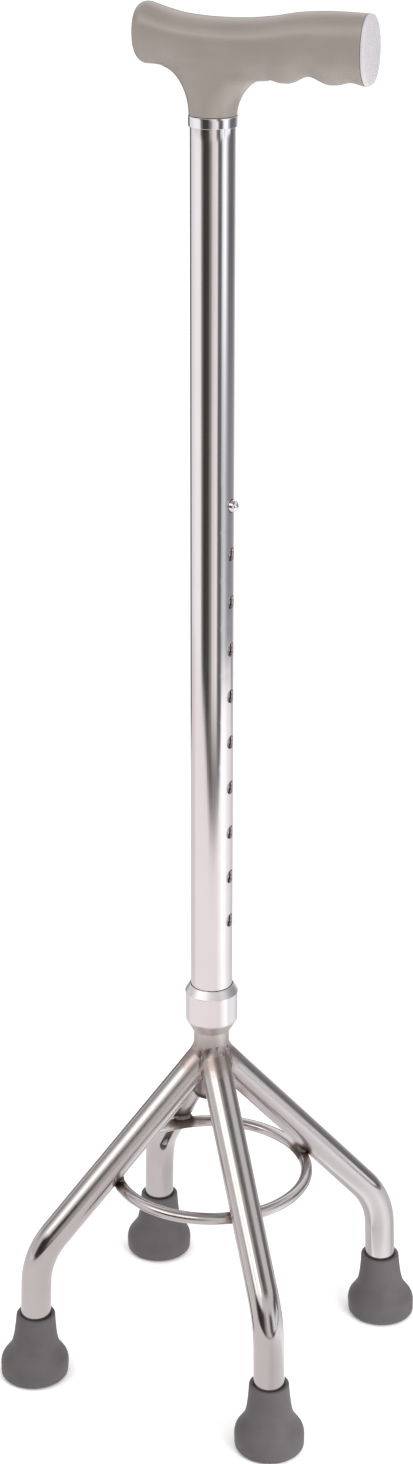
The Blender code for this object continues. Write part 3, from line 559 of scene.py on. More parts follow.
def collar():
    """The locking collar: a turned ring with eight flats. Below its top chamfer the radius at angle a is
    the soft minimum of the outline's and d / cos(a - f) for the nearest flat, which stands at angle f and
    distance d: the smaller one, less (k - gap)^2 / 4k where they are closer than k."""
    outline = [
        (POLE_RADIUS + GAP, COLLAR_TOP),
        (0.0118, COLLAR_TOP),
        (COLLAR_RADIUS, COLLAR_CHAMFER_BOTTOM),
        (COLLAR_RADIUS, COLLAR_TAPER_TOP),
        (0.0104, COLLAR_BOTTOM),
        (STEM_RADIUS + GAP, COLLAR_BOTTOM),
        (STEM_RADIUS + GAP, COLLET_SEAT),
        (0.0106, COLLET_SEAT),
        (0.0113, COLLAR_TAPER_TOP),
        (POLE_RADIUS + GAP, COLLAR_TAPER_TOP),
    ]
    radii = [0.0003, 0.0004, 0.0005, 0.0030, 0.0006, 0.0003, 0.0001, 0.0001, 0.0001, 0.0001]
    profile = rounded(outline, radii, 12)
    order = np.linspace(0, 1, 24)[1:-1, None]
    # More rows down the outer side, so that the flats' curved ends are smooth
    following = np.roll(profile, -1, axis=0)
    gaps = np.linalg.norm(following - profile, axis=1)
    outer = np.minimum(profile[:, 0], following[:, 0]) > 0.0103
    long = np.flatnonzero((gaps > 0.001) & outer)
    rows = [profile[: long[0] + 1]]
    for k, stop in zip(long, [*long[1:], len(profile) - 1]):
        rows.append(profile[k] + (following[k] - profile[k]) * order)
        rows.append(profile[k + 1 : stop + 1])
    profile = np.concatenate(rows)
    points, quads = turned(profile, COLLAR_FLATS * 36)
    r = np.hypot(points[..., 0], points[..., 1])
    a = np.arctan2(points[..., 1], points[..., 0])
    eighth = 2 * np.pi / COLLAR_FLATS
    off = (a + COLLAR_TURN + eighth / 2) % eighth - eighth / 2
    flat = COLLAR_FLAT_DISTANCE / np.cos(off)
    k = 0.00016
    planed = np.minimum(r, flat) - np.maximum(k - np.abs(r - flat), 0) ** 2 / (4 * k)
    planed = np.where(points[..., 2] < COLLAR_CHAMFER_BOTTOM - 0.00005, planed, r)
    points[..., :2] *= (planed / r)[..., None]
    return points, quads


def button():
    """The snap button, turned round X: a dome with a short straight side, its flange, tail and head."""
    b = np.linspace(0, np.pi / 2, 14)
    dome = np.c_[BUTTON_RADIUS * np.sin(b), BUTTON_TIP - BUTTON_RADIUS * (1 - np.cos(b))]
    back, front = BUTTON_FLANGE
    shank = [(BUTTON_RADIUS, front), (BUTTON_FLANGE_RADIUS, front), (BUTTON_FLANGE_RADIUS, back)]
    tail = [(BUTTON_TAIL_RADIUS, back), (BUTTON_TAIL_RADIUS, BUTTON_HEAD[1])]
    head = [(BUTTON_HEAD_RADIUS, BUTTON_HEAD[1]), (BUTTON_HEAD_RADIUS, BUTTON_HEAD[0]), (0, BUTTON_HEAD[0])]
    points, quads = turned(np.concatenate([dome, shank, tail, head]), 48, False)
    x, y, z = points[..., 0], points[..., 1], points[..., 2]
    return np.stack([z, x, y + TOP_HOLE_Z], axis=-1), quads


def spring_arm():
    """The leaf spring's front, a flat strip with a round hole. Its point (s, t) is (1-s) times the hole's
    edge at t plus s times the strip's edge at t, on both faces of the strip."""
    half = SPRING_WIDTH / 2
    low, high = SPRING_BEND_Z - TOP_HOLE_Z, SPRING_ARM_TOP - TOP_HOLE_Z
    across = np.linspace(-half, half, 7)[:-1]
    up = np.linspace(low, high, 23)[:-1]
    edge = np.concatenate(
        [
            np.c_[across, low + 0 * across],
            np.c_[half + 0 * up, up],
            np.c_[-across, high + 0 * across],
            np.c_[-half + 0 * up, low + high - up],
        ]
    )
    t = np.arctan2(edge[:, 1], edge[:, 0])
    hole = (BUTTON_TAIL_RADIUS + GAP) * np.c_[np.cos(t), np.sin(t)]
    s = np.linspace(0, 1, 12)[:, None, None]
    face = (1 - s) * hole + s * edge
    y, z = face[..., 0], face[..., 1] + TOP_HOLE_Z
    front = np.stack([SPRING_ARM_X + SPRING_THICKNESS / 2 + 0 * y, y, z], axis=-1)
    back = np.stack([SPRING_ARM_X - SPRING_THICKNESS / 2 + 0 * y, y, z], axis=-1)
    return np.concatenate([front, back[::-1]]), grid(2 * len(front), len(t), True, True)


def spring_bend():
    """The leaf spring's half round bend and its back: a flat section carried along a half circle and up."""
    turn = np.linspace(0, np.pi, 25)
    middle, radius = (SPRING_ARM_X + SPRING_BACK_X) / 2, (SPRING_ARM_X - SPRING_BACK_X) / 2
    outward = np.c_[np.r_[np.cos(turn), -1.0], np.r_[-np.sin(turn), 0.0]]
    line = np.array([middle, SPRING_BEND_Z]) + radius * outward
    line[-1, 1] = SPRING_BACK_TOP
    over = np.array([1, 1, -1, -1]) * SPRING_THICKNESS / 2
    y = np.array([-1, 1, 1, -1]) * SPRING_WIDTH / 2
    x = line[:, :1] + outward[:, :1] * over
    z = line[:, 1:] + outward[:, 1:] * over
    points = np.stack([x, y + 0 * x, z], axis=-1)
    ends = points[[0, -1]].mean(axis=1, keepdims=True) + 0 * points[:2]
    return np.concatenate([ends[:1], points, ends[1:]]), grid(len(points) + 2, 4)


def ferrule():
    """The polished ring under the grip, turned, with rounded edges."""
    inner = POLE_RADIUS + GAP
    top, bottom = FERRULE_ENDS
    outline = [(inner, top), (FERRULE_RADIUS, top), (FERRULE_RADIUS, bottom), (inner, bottom)]
    return turned(rounded(outline, [0.0001, 0.0003, 0.0003, 0.0001], 8))


class Nodes:
    """A short way to write a node tree. Each call adds a node and returns its first output."""

    def __init__(self, tree):
        self.tree = tree

    def add(self, kind, *inputs, **settings):
        """A node with its inputs in order, each a value or a socket."""
        node = self.tree.nodes.new(kind)
        for key, value in settings.items():
            setattr(node, key, value)
        for socket, value in zip(node.inputs, inputs):
            if isinstance(value, bpy.types.NodeSocket):
                self.tree.links.new(value, socket)
            elif value is not None:
                socket.default_value = value
        return node

    def math(self, operation, a, b=0.0, c=0.0):
        """One sum on sockets or values."""
        return self.add("ShaderNodeMath", a, b, c, operation=operation).outputs[0]

    def spread(self, value, low, high, out_low=0.0, out_high=1.0):
        """A smooth step from out_low to out_high."""
        node = self.add(
            "ShaderNodeMapRange", value, low, high, out_low, out_high, interpolation_type="SMOOTHSTEP"
        )
        return node.outputs[0]

    def ramp(self, value, stops, mode="LINEAR"):
        """A colour ramp from (place, grey or colour) stops."""
        node = self.add("ShaderNodeValToRGB", value)
        ramp = node.color_ramp
        ramp.interpolation = mode
        while len(ramp.elements) < len(stops):
            ramp.elements.new(0.5)
        for element, (place, colour) in zip(ramp.elements, stops):
            element.position = place
            grey = isinstance(colour, (int, float))
            element.color = (colour, colour, colour, 1) if grey else (*colour, 1)
        return node.outputs[0]

    def around(self, turn, stops):
        """A smooth ramp over a whole turn. Each stop is the degrees right of the photographer, then a grey
        or a red, green and blue."""
        places = [(0.5 + d / 360, c if len(c) == 3 else c[0]) for d, *c in stops]
        return self.ramp(turn, places, "EASE")

    def mix(self, factor, a, b, blend="MIX"):
        """Two colours mixed."""
        node = self.tree.nodes.new("ShaderNodeMix")
        node.data_type = "RGBA"
        node.blend_type = blend
        for name, value in (("Factor_Float", factor), ("A_Color", a), ("B_Color", b)):
            socket = next(s for s in node.inputs if s.identifier == name)
            if isinstance(value, bpy.types.NodeSocket):
                self.tree.links.new(value, socket)
            else:
                socket.default_value = value if isinstance(value, float) else (*value, 1)
        return next(s for s in node.outputs if s.identifier == "Result_Color")

    def here(self):
        """The place on the object, in Object coordinates."""
        return self.add("ShaderNodeTexCoord").outputs["Object"]

    def split(self, here):
        """A place as its x, y and z."""
        return self.add("ShaderNodeSeparateXYZ", here).outputs

    def stretched(self, here, scale):
        """The place scaled along x, y and z."""
        node = self.add("ShaderNodeMapping", here)
        node.inputs["Scale"].default_value = scale
        return node.outputs[0]

    def noise(self, vector, scale, detail=3.0, rough=0.5):
        """Cloudy noise from 0 to 1."""
        node = self.tree.nodes.new("ShaderNodeTexNoise")
        self.tree.links.new(vector, node.inputs["Vector"])
        node.inputs["Scale"].default_value = scale
        node.inputs["Detail"].default_value = detail
        node.inputs["Roughness"].default_value = rough
        return node.outputs["Fac"]

    def bump(self, height, distance, strength=1.0, normal=None):
        """A normal that follows a height."""
        node = self.tree.nodes.new("ShaderNodeBump")
        node.inputs["Strength"].default_value = strength
        node.inputs["Distance"].default_value = distance
        self.tree.links.new(height, node.inputs["Height"])
        if normal is not None:
            self.tree.links.new(normal, node.inputs["Normal"])
        return node.outputs["Normal"]


def finish(name, metallic=0.0, **sockets):
    """A new material with its Principled shader. The sockets hold one value over the whole surface."""
    made = bpy.data.materials.new(name)
    made.use_nodes = True
    shader = made.node_tree.nodes["Principled BSDF"]
    shader.inputs["Metallic"].default_value = metallic
    for key, value in sockets.items():
        shader.inputs[key.replace("_", " ")].default_value = value
    return made, Nodes(made.node_tree), shader


def link(made, output, shader, name):
    """Joins a node's output to one of the shader's sockets."""
    made.node_tree.links.new(output, shader.inputs[name])


def polished_steel(name, grain, dark, light, tint=False, satin=None, roughness=(0.07, 0.13)):
    """Buffed stainless steel: faint lines along the grain in its gloss, and slow waves in its surface.
    Near the welds it is straw, brown and dark grey from their heat, and less bright; round the hoop's
    welds it goes on to nearly black, painted shade under the legs there. Below the first and above the
    second of the satin heights it isn't buffed."""
    made, n, shader = finish(name, metallic=1.0)
    here = n.here()
    x, y, z = n.split(here)
    lines = n.noise(n.stretched(here, grain), 1.0, 4.0, 0.6)
    cloud = n.noise(here, 55.0, 3.0)
    colour = n.mix(cloud, dark, light)
    gloss = n.math("MULTIPLY_ADD", lines, 0.75, n.math("MULTIPLY", cloud, 0.25))
    rough = n.spread(gloss, 0.3, 0.7, *roughness)
    if tint:
        uneven = n.math("MULTIPLY_ADD", n.noise(here, 150.0, 4.0), 0.012, -0.006)
        mirrored = n.add("ShaderNodeCombineXYZ", n.math("ABSOLUTE", x), n.math("ABSOLUTE", y), z).outputs[0]

        def near(radius, height, inner, outer):
            """1 at a weld on each leg, and 0 away from it."""
            spot = (radius * math.sqrt(0.5), radius * math.sqrt(0.5), height)
            gap = n.add("ShaderNodeVectorMath", mirrored, spot, operation="DISTANCE").outputs["Value"]
            return n.spread(n.math("ADD", gap, uneven), inner, outer, 1.0, 0.0)

        hub = n.math("MULTIPLY", near(0.010, 0.183, 0.004, 0.014), 0.50)
        crotch = n.math("MULTIPLY", near(0.012, 0.158, 0.004, 0.014), 0.60)
        # Painted shade: round the hoop's welds the tint runs almost to black, deeper than the heat tint
        # alone, for the shade under the legs there
        ring = n.math("MULTIPLY", near(RING_RADIUS - 0.001, RING_Z + 0.003, 0.004, 0.0125), 0.95)
        heat = n.math("MAXIMUM", n.math("MAXIMUM", hub, crotch), ring)
        burnt = n.ramp(
            heat,
            [
                (0.0, (1.0, 1.0, 1.0)),
                (0.25, (0.96, 0.92, 0.89)),
                (0.50, (0.76, 0.68, 0.64)),
                (0.75, (0.40, 0.33, 0.31)),
                (1.0, (0.17, 0.135, 0.125)),
            ],
        )
        colour = n.mix(1.0, colour, burnt, "MULTIPLY")
        rough = n.math("ADD", rough, n.math("MULTIPLY", heat, 0.30))
        rough = n.math("ADD", rough, n.spread(z, 0.094, 0.120, 0.0, 0.10))
    if satin:
        below = n.spread(z, satin[0] - 0.0012, satin[0] + 0.0012, 1.0, 0.0)
        above = n.spread(z, satin[1] - 0.0003, satin[1] + 0.0003)
        rough = n.math("ADD", rough, n.math("MULTIPLY_ADD", below, 0.34, n.math("MULTIPLY", above, 0.20)))
        colour = n.mix(below, colour, (0.60, 0.565, 0.55))
    link(made, colour, shader, "Base Color")
    link(made, rough, shader, "Roughness")
    waves = n.bump(n.noise(here, 24.0, 1.0), 0.0004, 0.06)
    link(made, n.bump(lines, 0.00001, 0.25, waves), shader, "Normal")
    return made


def satin_steel():
    """The stem: drawn stainless tube, less bright than the pole, brown round the legs' welds, and painted
    almost black along its bottom edge as the shade and dark reflection there."""
    made, n, shader = finish("satin_steel", metallic=1.0)
    here = n.here()
    z = n.split(here)[2]
    lines = n.noise(n.stretched(here, (900, 900, 14)), 1.0, 3.0, 0.6)
    patches = n.noise(here, 130.0, 4.0)
    heat = n.math("MULTIPLY", n.spread(z, 0.186, 0.203, 1.0, 0.0), n.math("MULTIPLY_ADD", patches, 0.7, 0.45))
    burnt = n.ramp(
        heat,
        [
            (0.0, (0.62, 0.59, 0.58)),
            (0.35, (0.52, 0.48, 0.46)),
            (0.65, (0.42, 0.37, 0.35)),
            (1.0, (0.32, 0.27, 0.25)),
        ],
    )
    # Painted shade: the stem's bottom edge is darkened to nearly black, standing in for the shade and dark
    # reflection there
    painted_edge_shade = n.math("MULTIPLY_ADD", patches, 0.003, STEM_BOTTOM)
    painted_edge_shade = n.spread(n.math("SUBTRACT", z, painted_edge_shade), 0.0, 0.0024, 1.0, 0.0)
    link(made, n.mix(painted_edge_shade, burnt, (0.10, 0.08, 0.08)), shader, "Base Color")
    rough = n.math("MULTIPLY_ADD", painted_edge_shade, 0.2, n.spread(lines, 0.3, 0.7, 0.24, 0.34))
    link(made, rough, shader, "Roughness")
    link(made, n.bump(lines, 0.00002, 0.3), shader, "Normal")
    return made


def weld_metal(name, shade, roughness):
    """Weld beads: brown oxide and brighter metal in patches."""
    made, n, shader = finish(name, metallic=1.0)
    here = n.here()
    patches = n.noise(here, 320.0, 4.0, 0.6)
    colour = n.ramp(
        patches,
        [
            (0.28, (0.33, 0.285, 0.27)),
            (0.45, (0.43, 0.385, 0.365)),
            (0.60, (0.50, 0.46, 0.445)),
            (0.78, (0.57, 0.535, 0.52)),
        ],
    )
    # The colour is multiplied by shade: below 1 it is painted shade for a bead that sits in a shaded corner
    link(made, n.mix(1.0, colour, (shade, shade * 0.96, shade * 0.94), "MULTIPLY"), shader, "Base Color")
    link(made, n.spread(patches, 0.3, 0.7, *roughness), shader, "Roughness")
    link(made, n.bump(n.noise(here, 900.0, 3.0), 0.00004, 0.35), shader, "Normal")
    return made


def chrome(name):
    """Bright plating with very fine haze."""
    made, n, shader = finish(name, metallic=1.0)
    here = n.here()
    haze = n.noise(here, 700.0, 4.0)
    link(made, n.mix(haze, (0.84, 0.83, 0.84), (0.90, 0.89, 0.90)), shader, "Base Color")
    link(made, n.spread(haze, 0.3, 0.7, 0.04, 0.09), shader, "Roughness")
    return made


def moulded(name, dark, light, grain, roughness, depth, **sockets):
    """Moulded plastic: the pores of the mould's texture, soft clouds in its colour and gloss."""
    made, n, shader = finish(name, **sockets)
    here = n.here()
    cloud = n.noise(here, 38.0, 4.0)
    pores = n.noise(here, grain, 2.0, 0.6)
    link(made, n.mix(n.spread(cloud, 0.3, 0.7), dark, light), shader, "Base Color")
    gloss = n.math("MULTIPLY_ADD", pores, 0.5, n.math("MULTIPLY", cloud, 0.5))
    link(made, n.spread(gloss, 0.3, 0.7, *roughness), shader, "Roughness")
    link(made, n.bump(pores, depth, 0.4), shader, "Normal")
    return made


def rubber():
    """Matt grey rubber: fine grain, and greyer dust in scuffs low down."""
    made, n, shader = finish("grey_rubber")
    here = n.here()
    z = n.split(here)[2]
    cloud = n.noise(here, 90.0, 5.0, 0.6)
    scuffs = n.noise(n.stretched(here, (60, 60, 500)), 1.0, 4.0, 0.7)
    colour = n.mix(n.spread(cloud, 0.3, 0.7), (0.070, 0.063, 0.065), (0.082, 0.075, 0.077))
    low = n.math("MULTIPLY", n.spread(z, 0.0, 0.007, 1.0, 0.0), n.spread(scuffs, 0.45, 0.65))
    colour = n.mix(low, colour, (0.100, 0.092, 0.092))
    link(made, colour, shader, "Base Color")
    link(made, n.spread(cloud, 0.3, 0.7, 0.48, 0.60), shader, "Roughness")
    grain = n.math("MULTIPLY_ADD", n.noise(here, 1800.0, 2.0), 0.6, n.math("MULTIPLY", scuffs, 0.4))
    link(made, n.bump(grain, 0.00012, 0.35), shader, "Normal")
    return made


def spring_steel():
    """Blued leaf spring: drawn lines across its width and an uneven temper colour."""
    made, n, shader = finish("spring_steel", metallic=1.0)
    here = n.here()
    lines = n.noise(n.stretched(here, (200, 1500, 60)), 1.0, 3.0)
    colour = n.mix(n.noise(here, 200.0), (0.34, 0.34, 0.37), (0.52, 0.51, 0.51))
    link(made, colour, shader, "Base Color")
    link(made, n.spread(lines, 0.3, 0.7, 0.28, 0.42), shader, "Roughness")
    link(made, n.bump(lines, 0.00002, 0.4), shader, "Normal")
    return made


BRIGHT = (0.80, 0.765, 0.77), (0.86, 0.825, 0.83)
DULL = (0.53, 0.50, 0.495), (0.60, 0.57, 0.565)
POLE_STEEL = polished_steel("pole_steel", (1400, 1400, 9), *BRIGHT)
LEG_STEEL = polished_steel("leg_steel", (260, 260, 260), *DULL, tint=True)
COLLAR_STEEL = polished_steel(
    "collar_steel", (30, 30, 1500), *BRIGHT, satin=(0.2050, 0.2215), roughness=(0.10, 0.16)
)
STEM_STEEL = satin_steel()
HUB_WELD = weld_metal("hub_weld_metal", 1.0, (0.34, 0.24))
# Painted shade: the hoop's beads are the hub's weld metal darkened to 0.42, for the shade in the corner under
# each leg; their brown oxide is real
SHADED_HOOP_WELD = weld_metal("shaded_hoop_weld_metal", 0.42, (0.50, 0.32))
CHROME = chrome("bright_chrome")
TAUPE = moulded(
    "taupe_plastic", (0.245, 0.212, 0.192), (0.265, 0.231, 0.210), 1500.0, (0.22, 0.28), 0.00003
)
PALE = moulded("pale_plastic", (0.455, 0.437, 0.457), (0.48, 0.462, 0.482), 1500.0, (0.24, 0.32), 0.00003)
NYLON = moulded("white_nylon", (0.74, 0.73, 0.69), (0.81, 0.80, 0.76), 900.0, (0.42, 0.55), 0.00005)
RUBBER = rubber()
SPRING = spring_steel()

heights = [TOP_HOLE_Z - k * HOLE_PITCH for k in range(HOLE_COUNT)]
tube = drilled_tube(POLE_RADIUS, POLE_RADIUS - POLE_WALL, POLE_BOTTOM, POLE_TOP, heights, HOLE_RADIUS)
piece("pole", tube, POLE_STEEL, "pole", "pole_tube")
tube = drilled_tube(
    STEM_RADIUS, STEM_RADIUS - STEM_WALL, STEM_BOTTOM, STEM_TOP, [TOP_HOLE_Z], BUTTON_RADIUS + GAP
)
piece("stem", tube, STEM_STEEL, "base", "stem_tube")
piece("grip", grip(), TAUPE, "pole", "handle_grip")
piece("grip_end_cap", end_cap(), PALE, "pole", "handle_end_cap")
piece("grip_ferrule", ferrule(), CHROME, "pole", "handle_ferrule")
piece("collar", collar(), COLLAR_STEEL, "collar", "lock_collar", sharp=30)
piece("button", button(), CHROME, "button", "snap_button")
bends = "base", "button", (0, 0, SPRING_BEND_Z), (0, 0, TOP_HOLE_Z - 0.0045)
piece("spring_arm", spring_arm(), SPRING, bends, "snap_spring")
piece("spring_bend", spring_bend(), SPRING, "base", "snap_spring")
piece("hoop", hoop(), LEG_STEEL, "base", "base_ring")
for leg, degrees in LEGS.items():
    for name, make, metal, node, slot in (
        ("tube_leg", leg_tube, LEG_STEEL, "leg", "polished_steel"),
        ("hub_fillet", hub_fillet, HUB_WELD, "hub_weld", "weld"),
        ("hoop_bead", weld_lump, SHADED_HOOP_WELD, "ring_weld", "weld"),
        ("rubber_foot", foot, RUBBER, "foot", "grey_rubber"),
    ):
        points, quads = make()
        shape = about_z(points, degrees), quads
        piece(f"{name}_{leg}", shape, metal, "base", f"{node}_{leg}")

CARRIED = {"handle_core": NYLON, "collet": NYLON, "stem_top_glide": NYLON}
CARRIED.update({f"washer_{leg}": STEM_STEEL for leg in LEGS})
for name, made in CARRIED.items():
    for material_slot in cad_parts[name].material_slots:
        material_slot.material = made

# The camera stands where the photograph was taken from
CAMERA_TURN = math.radians(27.32)
CAMERA_DISTANCE = 1.3247
CAMERA_HEIGHT = 0.8936
CAMERA_TILT = math.radians(21.56)
CAMERA_ROLL = math.radians(0.094)
PHOTO_HEIGHT = 1464
lens = bpy.data.cameras.new("camera")
lens.sensor_fit = "VERTICAL"
lens.sensor_height = 36
lens.lens = 2751.9 / PHOTO_HEIGHT * 36
lens.shift_x = -(211.96 - 206.5) / PHOTO_HEIGHT
lens.clip_start = 0.01
camera = bpy.data.objects.new("camera", lens)
camera.location = (
    CAMERA_DISTANCE * math.sin(CAMERA_TURN),
    -CAMERA_DISTANCE * math.cos(CAMERA_TURN),
    CAMERA_HEIGHT,
)
look = Euler((math.pi / 2 - CAMERA_TILT, 0, CAMERA_TURN)).to_matrix()
camera.rotation_euler = (look @ Matrix.Rotation(CAMERA_ROLL, 3, "Z")).to_euler()
bpy.context.scene.collection.objects.link(camera)
bpy.context.scene.camera = camera


STUDIO_STEPS = 96


def studio_rings(name, out, up, made, inward=False):
    """A round, smooth piece of the studio: rings (r cos a, r sin a, h) of the radii out at the heights up."""
    a = np.linspace(0, 2 * np.pi, STUDIO_STEPS, endpoint=False)
    r = np.asarray(out, float)[:, None]
    h = up + 0 * np.asarray(out, float)
    points = np.stack([r * np.cos(a), r * np.sin(a), h[:, None] + 0 * a], axis=-1)
    quads = grid(len(r), STUDIO_STEPS)[:, :: -1 if inward else 1]
    mesh = bpy.data.meshes.new(name)
    mesh.from_pydata(points.reshape(-1, 3).tolist(), [], quads.tolist())
    mesh.shade_smooth()
    mesh.materials.append(made)
    obj = bpy.data.objects.new(name, mesh)
    bpy.context.scene.collection.objects.link(obj)
    return obj


def only_in_reflections(obj):
    """The object shows in the cane's polish and nowhere else."""
    obj.visible_camera = False
    obj.visible_diffuse = False
    obj.visible_shadow = False
    obj.visible_transmission = False
    obj.visible_volume_scatter = False


def studio_colour(name):
    """A glowing material for the studio's walls, with the angle round the pole as 0 to 1: 0.5 is where
    the photographer stands, and it grows to the right of that."""
    made = bpy.data.materials.new(name)
    made.use_nodes = True
    made.node_tree.nodes.clear()
    n = Nodes(made.node_tree)
    x, y, z = n.split(n.here())
    out = n.math("SQRT", n.math("ADD", n.math("MULTIPLY", x, x), n.math("MULTIPLY", y, y)))
    angle = n.math("ARCTAN2", y, x)
    facing = math.atan2(-math.cos(CAMERA_TURN), math.sin(CAMERA_TURN))
    share = n.math("DIVIDE", n.math("SUBTRACT", angle, facing), 2 * math.pi)
    turn = n.math("FRACT", n.math("ADD", share, 1.5))
    return made, n, turn, z, out


def glow(made, n, colour):
    """Makes the material shine in this colour."""
    light = n.add("ShaderNodeEmission", colour, 1.0)
    end = n.add("ShaderNodeOutputMaterial")
    made.node_tree.links.new(light.outputs[0], end.inputs["Surface"])


# What stands round the table at the level of the horizon: pale walls, dark stands and doorways
HORIZON = [
    (-180, 0.30, 0.30, 0.31),
    (-160, 0.10, 0.10, 0.10),
    (-142, 0.14, 0.14, 0.14),
    (-132, 0.80, 0.80, 0.80),
    (-84, 0.78, 0.77, 0.78),
    (-70, 0.85, 0.84, 0.84),
    (-58, 0.09, 0.09, 0.09),
    (-45, 0.04, 0.035, 0.035),
    (-24, 0.07, 0.065, 0.06),
    (-10, 0.45, 0.43, 0.42),
    (2, 0.85, 0.81, 0.80),
    (13, 0.90, 0.86, 0.86),
    (22, 0.22, 0.22, 0.23),
    (32, 0.09, 0.10, 0.11),
    (43, 0.75, 0.77, 0.80),
    (52, 1.20, 1.21, 1.24),
    (62, 0.70, 0.73, 0.78),
    (76, 0.12, 0.125, 0.14),
    (102, 0.12, 0.125, 0.14),
    (118, 0.28, 0.285, 0.30),
    (135, 0.34, 0.34, 0.35),
    (150, 0.12, 0.12, 0.13),
    (165, 0.10, 0.10, 0.10),
    (180, 0.30, 0.30, 0.31),
]
# The floor beyond the table, with the foot of what stands on it
FLOOR = [
    (-180, 0.60, 0.60, 0.61),
    (-160, 0.12, 0.12, 0.12),
    (-142, 0.16, 0.16, 0.16),
    (-132, 0.80, 0.80, 0.80),
    (-84, 1.00, 0.99, 1.00),
    (-66, 0.97, 0.95, 0.95),
    (-54, 0.20, 0.19, 0.19),
    (-43, 0.05, 0.045, 0.045),
    (-24, 0.06, 0.055, 0.05),
    (-10, 0.26, 0.25, 0.24),
    (2, 0.78, 0.75, 0.74),
    (20, 0.93, 0.89, 0.89),
    (31, 0.15, 0.15, 0.16),
    (41, 0.12, 0.12, 0.13),
    (54, 0.62, 0.63, 0.65),
    (66, 0.70, 0.71, 0.73),
    (80, 0.42, 0.43, 0.45),
    (95, 0.28, 0.28, 0.30),
    (110, 0.30, 0.30, 0.32),
    (132, 0.36, 0.36, 0.38),
    (160, 0.90, 0.90, 0.91),
    (180, 0.60, 0.60, 0.61),
]
# What multiplies that colour a few metres away, where the upper pole's mirror image looks
FAR_FLOOR = [
    (36, 1.0),
    (46, 1.3),
    (54, 1.7),
    (66, 1.9),
    (78, 1.4),
    (90, 0.6),
    (112, 0.5),
    (134, 0.8),
    (150, 1.0),
]
# The table top, and how far it reaches
TABLE = [
    (-180, 0.66, 0.61, 0.62),
    (-120, 0.74, 0.69, 0.70),
    (-90, 0.93, 0.87, 0.88),
    (24, 0.93, 0.87, 0.88),
    (42, 1.06, 1.04, 1.05),
    (58, 1.26, 1.26, 1.27),
    (74, 1.22, 1.22, 1.23),
    (95, 0.96, 0.96, 0.99),
    (140, 0.70, 0.66, 0.68),
    (180, 0.66, 0.61, 0.62),
]
UNDER_THE_CANE = [
    (-180, 0.90, 0.86, 0.87),
    (-60, 0.94, 0.90, 0.91),
    (0, 0.92, 0.87, 0.88),
    (18, 0.80, 0.75, 0.76),
    (36, 0.90, 0.87, 0.88),
    (56, 1.02, 1.01, 1.02),
    (76, 1.34, 1.34, 1.35),
    (90, 1.20, 1.20, 1.21),
    (104, 0.80, 0.79, 0.81),
    (140, 0.78, 0.75, 0.77),
    (180, 0.90, 0.86, 0.87),
]
TABLE_EDGE = [
    (-180, 0.60),
    (-140, 0.62),
    (-125, 0.80),
    (-60, 0.72),
    (-43, 0.66),
    (-32, 0.603),
    (-21, 0.537),
    (-10, 0.50),
    (0, 0.485),
    (12, 0.482),
    (21, 0.495),
    (32, 0.515),
    (43, 0.57),
    (54, 0.71),
    (110, 0.76),
    (140, 0.62),
    (180, 0.60),
]
STUDIO_RADIUS = 8.0
EDGE_SCALE = 1.5
CARD_DROP = 0.002

made, n, turn, z, out = studio_colour("table_glow")
edge = n.math("MULTIPLY", n.around(turn, TABLE_EDGE), EDGE_SCALE)
inside = n.math("SUBTRACT", out, edge)
top = n.around(turn, TABLE)
top = n.mix(n.spread(out, 0.16, 0.56), n.around(turn, UNDER_THE_CANE), top)
# A shadow lies on the floor under the table's near edge
ahead = n.around(turn, [(-20, 0.0), (-10, 1.0), (22, 1.0), (32, 0.0)])
shade = n.math("SUBTRACT", 1.0, n.math("MULTIPLY", ahead, n.spread(out, 0.83, 1.08, 0.78, 0.0)))
beyond = n.add("ShaderNodeCombineXYZ", shade, shade, shade).outputs[0]
beyond = n.mix(1.0, n.around(turn, FLOOR), beyond, "MULTIPLY")
distant = n.mix(n.spread(out, 1.5, 3.2), (1.0, 1.0, 1.0), n.around(turn, FAR_FLOOR))
beyond = n.mix(1.0, beyond, distant, "MULTIPLY")
glow(made, n, n.mix(n.spread(inside, -0.07, 0.10), top, beyond))
disc = STUDIO_RADIUS * np.linspace(0, 1, 9) ** 2
only_in_reflections(studio_rings("table_card", disc, -CARD_DROP, made))

made, n, turn, z, out = studio_colour("studio_glow")
level = n.math("MULTIPLY", n.math("ARCTAN2", n.math("SUBTRACT", z, 0.30), out), 180 / math.pi)
degrees = n.math("MULTIPLY", n.math("SUBTRACT", turn, 0.5), 360)


def window(middle, half, height, half_height, soft):
    """1 inside a box of angles and heights, falling softly to 0 at its edges."""
    off = n.math("ABSOLUTE", n.math("WRAP", n.math("SUBTRACT", degrees, middle), 180, -180))
    lift = n.math("ABSOLUTE", n.math("SUBTRACT", level, height))
    return n.math(
        "MULTIPLY",
        n.spread(off, half - soft, half + soft, 1.0, 0.0),
        n.spread(lift, half_height - soft, half_height + soft, 1.0, 0.0),
    )


walls = n.mix(n.spread(level, 15, 23), n.around(turn, HORIZON), (0.84, 0.83, 0.83))
walls = n.mix(n.spread(level, 42, 54), walls, (0.34, 0.33, 0.33))
for place, colour in (
    ((-112, 16, 22, 12, 8), (0.42, 0.41, 0.41)),
    ((-52, 32, 35, 14, 7), (1.35, 1.32, 1.30)),
    ((-60, 13, 29, 4, 3.5), (3.3, 3.15, 2.95)),
    ((-30, 13, 41, 5, 4), (2.8, 2.7, 2.6)),
    ((79, 17, 0, 6, 4), (1.15, 1.14, 1.18)),
    ((31, 23, 54, 14, 8), (0.13, 0.125, 0.125)),
    ((112, 12, 6, 7, 5), (0.24, 0.23, 0.24)),
    ((-165, 42, 42, 20, 10), (1.15, 1.14, 1.14)),
):
    walls = n.mix(window(*place), walls, colour)
glow(made, n, walls)
u = np.linspace(0, np.pi / 2, 25)
dome = studio_rings("studio_card", STUDIO_RADIUS * np.cos(u), STUDIO_RADIUS * np.sin(u), made)
only_in_reflections(dome)

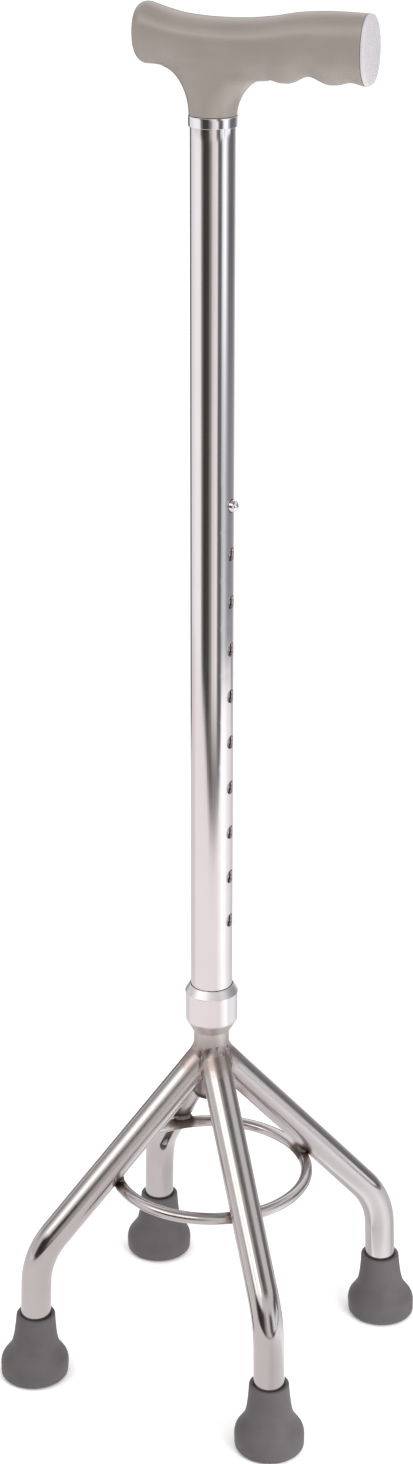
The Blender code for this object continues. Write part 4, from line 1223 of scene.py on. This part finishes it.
# The plain pale floor, a hair below the feet
FLOOR_DROP = 0.0003
made, n, shader = finish("pale_floor")
here = n.here()
link(made, n.mix(n.noise(here, 3.0), (0.945, 0.94, 0.94), (0.96, 0.955, 0.955)), shader, "Base Color")
shader.inputs["Roughness"].default_value = 0.9
floor = studio_rings("floor", (0.0, 0.4, 1.0, 3.0, 9.0), -FLOOR_DROP, made)
floor.visible_glossy = False
# Beyond the floor its paper curves up into a wall: a quarter circle of radius 3, then a straight run.
# It gives no light back, so that the sky still lights the cane from the sides.
u = np.linspace(0, np.pi / 2, 12)
up = np.r_[3 * (1 - np.cos(u)), 9.0] - FLOOR_DROP
backdrop = studio_rings("backdrop", np.r_[9.0 + 3 * np.sin(u), 12.0], up, made, inward=True)
for kind in ("diffuse", "glossy", "transmission", "volume_scatter", "shadow"):
    setattr(backdrop, f"visible_{kind}", False)

world = bpy.data.worlds.new("studio_air")
world.use_nodes = True
n = Nodes(world.node_tree)
upward = n.add("ShaderNodeSeparateXYZ", n.add("ShaderNodeTexCoord").outputs["Generated"]).outputs["Z"]
sky = n.ramp(upward, [(0.0, (0.52, 0.515, 0.51)), (0.4, (0.95, 0.945, 0.94)), (1.0, (1.55, 1.54, 1.53))])
world.node_tree.links.new(sky, world.node_tree.nodes["Background"].inputs["Color"])
bpy.context.scene.world = world


def softbox(name, place, target, size, power):
    """A large area light that faces the target. The metal reflects the studio cards in its stead."""
    light = bpy.data.lights.new(name, "AREA")
    light.shape = "RECTANGLE"
    light.size, light.size_y = size
    light.energy = power
    obj = bpy.data.objects.new(name, light)
    obj.location = place
    toward = np.array(target, float) - np.array(place, float)
    away = math.atan2(toward[1], toward[0]) - math.pi / 2
    tilt = math.acos(-toward[2] / np.linalg.norm(toward))
    obj.rotation_euler = (tilt, 0, away)
    obj.visible_glossy = False
    obj.visible_camera = False
    bpy.context.scene.collection.objects.link(obj)


softbox("key_softbox", (-1.3, -1.9, 2.3), (0, 0, 0.4), (1.6, 1.6), 13.2)
softbox("fill_softbox", (2.2, -0.6, 1.4), (0, 0, 0.4), (1.4, 1.4), 13)
softbox("low_softbox", (0.62, -0.22, 0.26), (0, 0, 0.03), (0.4, 0.4), 3.0)
bpy.context.scene.view_settings.view_transform = "Standard"
